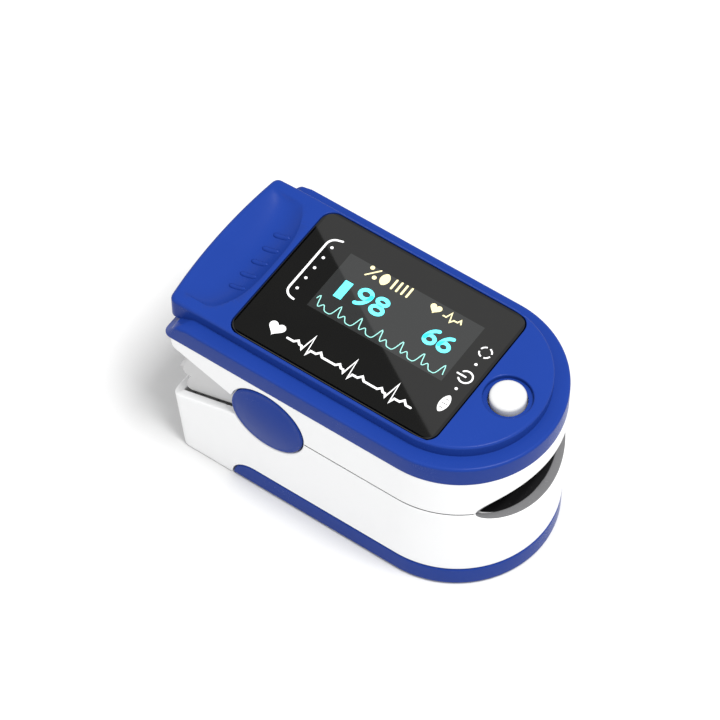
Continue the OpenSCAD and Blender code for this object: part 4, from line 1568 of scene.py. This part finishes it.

# The lips' grey material is painted shade for the cut edges of the mouth.
for name, height in (("upper", mouth_up), ("lower", -mouth_down)):
    shape = bmesh.new()
    add_lip(shape, height)
    lip = finished(f"{name}_mouth_lip", shape, lip_grey_painted_shade, sharp=45)
    fitted(lip, f"{name}_jaw", "black_silicone")

# %% [markdown]
# ## Springs and ribbon
#
# Two torsion springs close the jaws, and a flat ribbon carries the sensor's signal over the
# hinge. All three touch both jaws; each is drawn once in its resting shape and follows
# neither jaw, and the coils turn evenly.

# %% Metals and film
def metal(name, colour, roughness, brush=(1, 1, 1)):
    """Bare metal with a drawn or brushed grain and slightly duller patches."""
    finish = Finish(name, colour, roughness, Metallic=1.0)
    patches = finish.noise(2.5, detail=2.0)
    grain = finish.noise(0.12, detail=1.0, stretch=brush)
    finish.feed("Base Color", finish.mix(patches, [c * 0.85 for c in colour], colour))
    finish.feed("Roughness", roughness - 0.06 + 0.12 * patches + 0.06 * grain)
    finish.bump(grain, 0.003)
    return finish.material


def film(name, colour, tracks, pitch):
    """Amber film with copper tracks that run along y."""
    finish = Finish(name, colour, 0.28, Specular_IOR_Level=0.5)
    track = finish.along("X").wrapped(pitch) > pitch * 0.5
    finish.feed("Base Color", finish.mix(track, colour, tracks))
    finish.bump(track, 0.03)
    return finish.material


steel = metal("zinc_plated_steel", (0.52, 0.53, 0.55), 0.3)
spring_wire = metal("spring_wire", (0.42, 0.43, 0.45), 0.26, brush=(0.1, 1, 1))
nickel = metal("nickel_contact", (0.66, 0.62, 0.55), 0.24)
amber_film = film("polyimide_film", (0.5, 0.2, 0.03), (0.62, 0.3, 0.06), 0.9)
print("metals and film:", steel.name, spring_wire.name, nickel.name, amber_film.name)

# %% Wires along a path
spring_low, spring_high = span("torsion_spring_right")
wire_r = 0.4
coil_r = 2.9
coil_turns = 4.5
coil_start = 5.0
coil_pitch = 2 * wire_r + 0.06
leg_long = 10.5
leg_low = spring_low.z + wire_r
leg_high = spring_high.z - wire_r


def wire_rings(path, radius, steps=10):
    """Circles round a path, for a wire that is swept along it."""
    rings = []
    last_side = Vector((1, 0, 0))
    for i, here in enumerate(path):
        along = (path[min(i + 1, len(path) - 1)] - path[max(i - 1, 0)]).normalized()
        side = (last_side - along * last_side.dot(along)).normalized()
        other = along.cross(side)
        angles = [2 * math.pi * k / steps for k in range(steps)]
        rings.append([here + side * radius * math.cos(a) + other * radius * math.sin(a) for a in angles])
        last_side = side
    return rings


def bend_into(start, turn, corner, steps=5):
    """Points that lead from start round a small curve into the point turn."""
    line = []
    for k in range(steps):
        t = k / steps
        line.append(start * (1 - t) ** 2 + corner * 2 * t * (1 - t) + turn * t ** 2)
    return line


print(f"each coil has {coil_turns} turns of {2 * wire_r:.1f} mm wire")

# %% Torsion springs
turn_steps = 36
coil_steps = int(coil_turns * turn_steps)
for side, name in BOTH_SIDES:
    coil = []
    for k in range(coil_steps + 1):
        a = -math.pi / 2 - 2 * math.pi * k / turn_steps
        x = side * (coil_start + coil_pitch * k / turn_steps)
        coil.append(Vector((x, hinge_y + coil_r * math.cos(a), hinge_z + coil_r * math.sin(a))))
    first = Vector((coil[0].x, hinge_y + leg_long, leg_low))
    last = Vector((coil[-1].x, hinge_y + leg_long, leg_high))
    near_first = first - Vector((0, 1.0, 0))
    near_last = last - Vector((0, 1.0, 0))
    leave = coil[0] + Vector((0, 1.2, -0.28))
    meet = coil[-1] + Vector((0, 1.2, 0.24))
    path = [first] + bend_into(near_first, leave, near_first + Vector((0, -1.0, 0.15))) + [leave] + coil
    path += [meet] + bend_into(near_last, meet, near_last + Vector((0, -1.0, -0.1)))[::-1] + [last]
    shape = bmesh.new()
    add_swept(shape, wire_rings(path, wire_r))
    spring = finished(f"{name}_torsion_spring", shape, spring_wire, sharp=70)
    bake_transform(spring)
    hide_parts(f"torsion_spring_{name}")

# %% Link ribbon
ribbon_low, ribbon_high = span("link_ribbon")
ribbon_t = 0.2
ribbon_half = (ribbon_high.x - ribbon_low.x) / 2
ribbon_bend = 4.9
ribbon_mid = ribbon_low.z + ribbon_bend + 0.8
ribbon_turn = hinge_y - 0.6
ribbon_bed = ribbon_low.z + ribbon_t / 2
ribbon_path = [(ribbon_low.y + 0.02, ribbon_bed), (ribbon_low.y + 1.5, ribbon_bed)]
for degrees in range(-90, 51, 5):
    a = math.radians(degrees)
    ribbon_path.append((ribbon_turn + ribbon_bend * math.cos(a), ribbon_mid + ribbon_bend * math.sin(a)))
ribbon_up = ribbon_path[-1][0] - 0.6
for share in (0.3, 0.65, 1):
    ribbon_path.append((ribbon_up, ribbon_path[-1][1] + (ribbon_high.z - ribbon_path[-1][1]) * share))
rings = []
for i, (y, z) in enumerate(ribbon_path):
    before = Vector(ribbon_path[max(i - 1, 0)])
    after = Vector(ribbon_path[min(i + 1, len(ribbon_path) - 1)])
    along = (after - before).normalized() * ribbon_t / 2
    ring = [(-ribbon_half, y - along.y, z + along.x), (ribbon_half, y - along.y, z + along.x)]
    ring += [(ribbon_half, y + along.y, z - along.x), (-ribbon_half, y + along.y, z - along.x)]
    rings.append(ring)
shape = bmesh.new()
add_swept(shape, rings)
ribbon = finished("sensor_link_ribbon", shape, amber_film, sharp=50)
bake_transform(ribbon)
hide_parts("link_ribbon")

# %% [markdown]
# ## Battery cells
#
# Two AAA cells lie head to tail. Each is turned in one piece: a steel cup with rolled edges,
# a crimp below the cap and a printed sleeve whose bands are a function of the length.

# %% Two cells
def sleeved(name, toward, low, high):
    """Copper-coloured upper band, dark lower band and bare steel at both ends."""
    finish = Finish(name, (0.03, 0.03, 0.035), 0.3, Coat_Weight=0.3)
    height = (finish.along("Y") - low) * (1 / (high - low))
    if toward < 0:
        height = 1 - height
    copper = height > 0.66
    bare = (height > 0.955) + (height < 0.02)
    scuff = finish.noise(1.2, detail=3.0)
    sleeve = finish.mix(copper, (0.02, 0.021, 0.024), (0.55, 0.24, 0.08))
    dulled = finish.mix(scuff * 0.25, sleeve, (0.25, 0.22, 0.2))
    finish.feed("Base Color", finish.mix(bare, dulled, (0.6, 0.6, 0.6)))
    finish.feed("Metallic", bare.larger(copper * 0.7))
    finish.feed("Roughness", 0.22 + 0.2 * scuff)
    return finish.material


for toward, name in BOTH_SIDES:
    low, high = span(f"battery_{name}")
    axis_x = (low.x + high.x) / 2
    axis_z = (low.z + high.z) / 2
    cell_r = (high.z - low.z) / 2
    long = high.y - low.y
    base = low.y if toward > 0 else high.y
    shoulder = long - 1
    waist_r = cell_r - 0.1
    cell = [(0, 0.25), (3.6, 0.25), (3.8, 0), (cell_r - 0.5, 0), (cell_r - 0.12, 0.15), (cell_r, 0.5)]
    cell += [(cell_r, long - 1.9), (waist_r, long - 1.5), (waist_r, long - 1.3), (cell_r, long - 1.2)]
    cell += [(cell_r, shoulder), (cell_r - 0.3, long - 0.82), (cell_r - 1.1, long - 0.82)]
    cell += [(cell_r - 1.2, shoulder), (2.1, shoulder), (1.9, long - 0.85), (1.9, long - 0.15)]
    cell += [(1.7, long), (0, long)]
    shape = bmesh.new()
    add_turned(shape, cell, lambda x, y, h: (axis_x + x, base + toward * h, axis_z + y), 64)
    sleeve = sleeved(f"{name}_cell_sleeve", toward, low.y, high.y)
    battery = finished(f"{name}_aaa_cell", shape, sleeve, sharp=40)
    fitted(battery, "lower_jaw", "cell_sleeve", f"battery_{name}")

# %% [markdown]
# ## Pieces carried over from the frame
#
# The frames, screws, boards and contacts already have their true shape. They keep it, and
# get finishes of their own: solder mask with buried tracks, tinned pads, moulded packages.

# %% Circuit finishes
def solder_mask(name, colour, trace):
    """Green lacquer over tracks; where the lacquer is open the pads are tinned."""
    finish = Finish(name, colour, 0.32, Specular_IOR_Level=0.5)
    across = finish.along("X").wrapped(1.9) < 0.35
    down = finish.along("Y").wrapped(2.3) < 0.35
    lanes = finish.noise(3.5, detail=0.0) > 0.52
    tracks = across.larger(down) * lanes
    dot_x = (finish.along("X").wrapped(1.9) - 0.95).size() < 0.28
    dot_y = (finish.along("Y").wrapped(2.3) - 1.15).size() < 0.28
    pads = dot_x * dot_y * (finish.noise(5.0, detail=0.0) > 0.55)
    finish.feed("Base Color", finish.mix(pads, finish.mix(tracks, colour, trace), (0.62, 0.62, 0.6)))
    finish.feed("Metallic", pads)
    finish.bump(tracks.larger(pads), 0.03)
    return finish.material


def package(name, colour, roughness):
    """A moulded component with ejector grain and slightly paler clouds."""
    finish = Finish(name, colour, roughness)
    grain = finish.noise(0.15, detail=2.0)
    cloud = finish.noise(1.5)
    finish.feed("Base Color", finish.mix(cloud, colour, [c * 1.4 + 0.004 for c in colour]))
    finish.feed("Roughness", roughness + 0.1 * grain)
    finish.bump(grain, 0.006)
    return finish.material


def clear_lens(name, colour, **uniform):
    """Cast epoxy: water clear, with faint flow lines."""
    finish = Finish(name, colour, 0.08, Transmission_Weight=0.85, IOR=1.5, **uniform)
    flow = finish.noise(0.8, detail=1.0, stretch=(1, 1, 0.3))
    finish.feed("Roughness", 0.05 + 0.08 * flow)
    finish.bump(flow, 0.01)
    return finish.material


green_board = solder_mask("green_solder_mask", (0.01, 0.11, 0.03), (0.02, 0.19, 0.06))
chip_black = package("moulded_chip", (0.014, 0.014, 0.015), 0.45)
parts_tan = package("ceramic_parts", (0.2, 0.14, 0.08), 0.4)
diode_dark = package("photodiode_resin", (0.02, 0.012, 0.012), 0.15)
glass_dark = package("display_glass_black", (0.012, 0.013, 0.015), 0.12)
lens_clear = clear_lens("clear_epoxy", (0.9, 0.92, 0.95))
lens_red = clear_lens("red_emitter_lens", (0.9, 0.35, 0.3))
print("circuit finishes:", green_board.name, chip_black.name, parts_tan.name, lens_clear.name)

# %% Finishes on the carried-over pieces
carried = {
    frame_white: ["lower_frame", "upper_frame"],
    button_white: ["switch_plunger"],
    steel: ["frame_screw", "case_screws", "hinge_pin"],
    nickel: ["front_contact", "rear_contact_negative", "rear_contact_positive"],
    green_board: ["sensor_board", "emitter_board", "main_board"],
    chip_black: ["processor_chip", "tact_switch"],
    parts_tan: ["board_components"],
    diode_dark: ["photodiode"],
    glass_dark: ["display_glass"],
    amber_film: ["display_flex"],
    gasket_black: ["window_gasket"],
    lens_clear: ["sensor_window", "emitter_window"],
    lens_red: ["emitter_leds"],
}
for material, nodes in carried.items():
    for node in nodes:
        piece = bpy.data.objects[node]
        piece.data.materials.clear()
        piece.data.materials.append(material)
print(sum(len(nodes) for nodes in carried.values()), "pieces of the frame carried over")
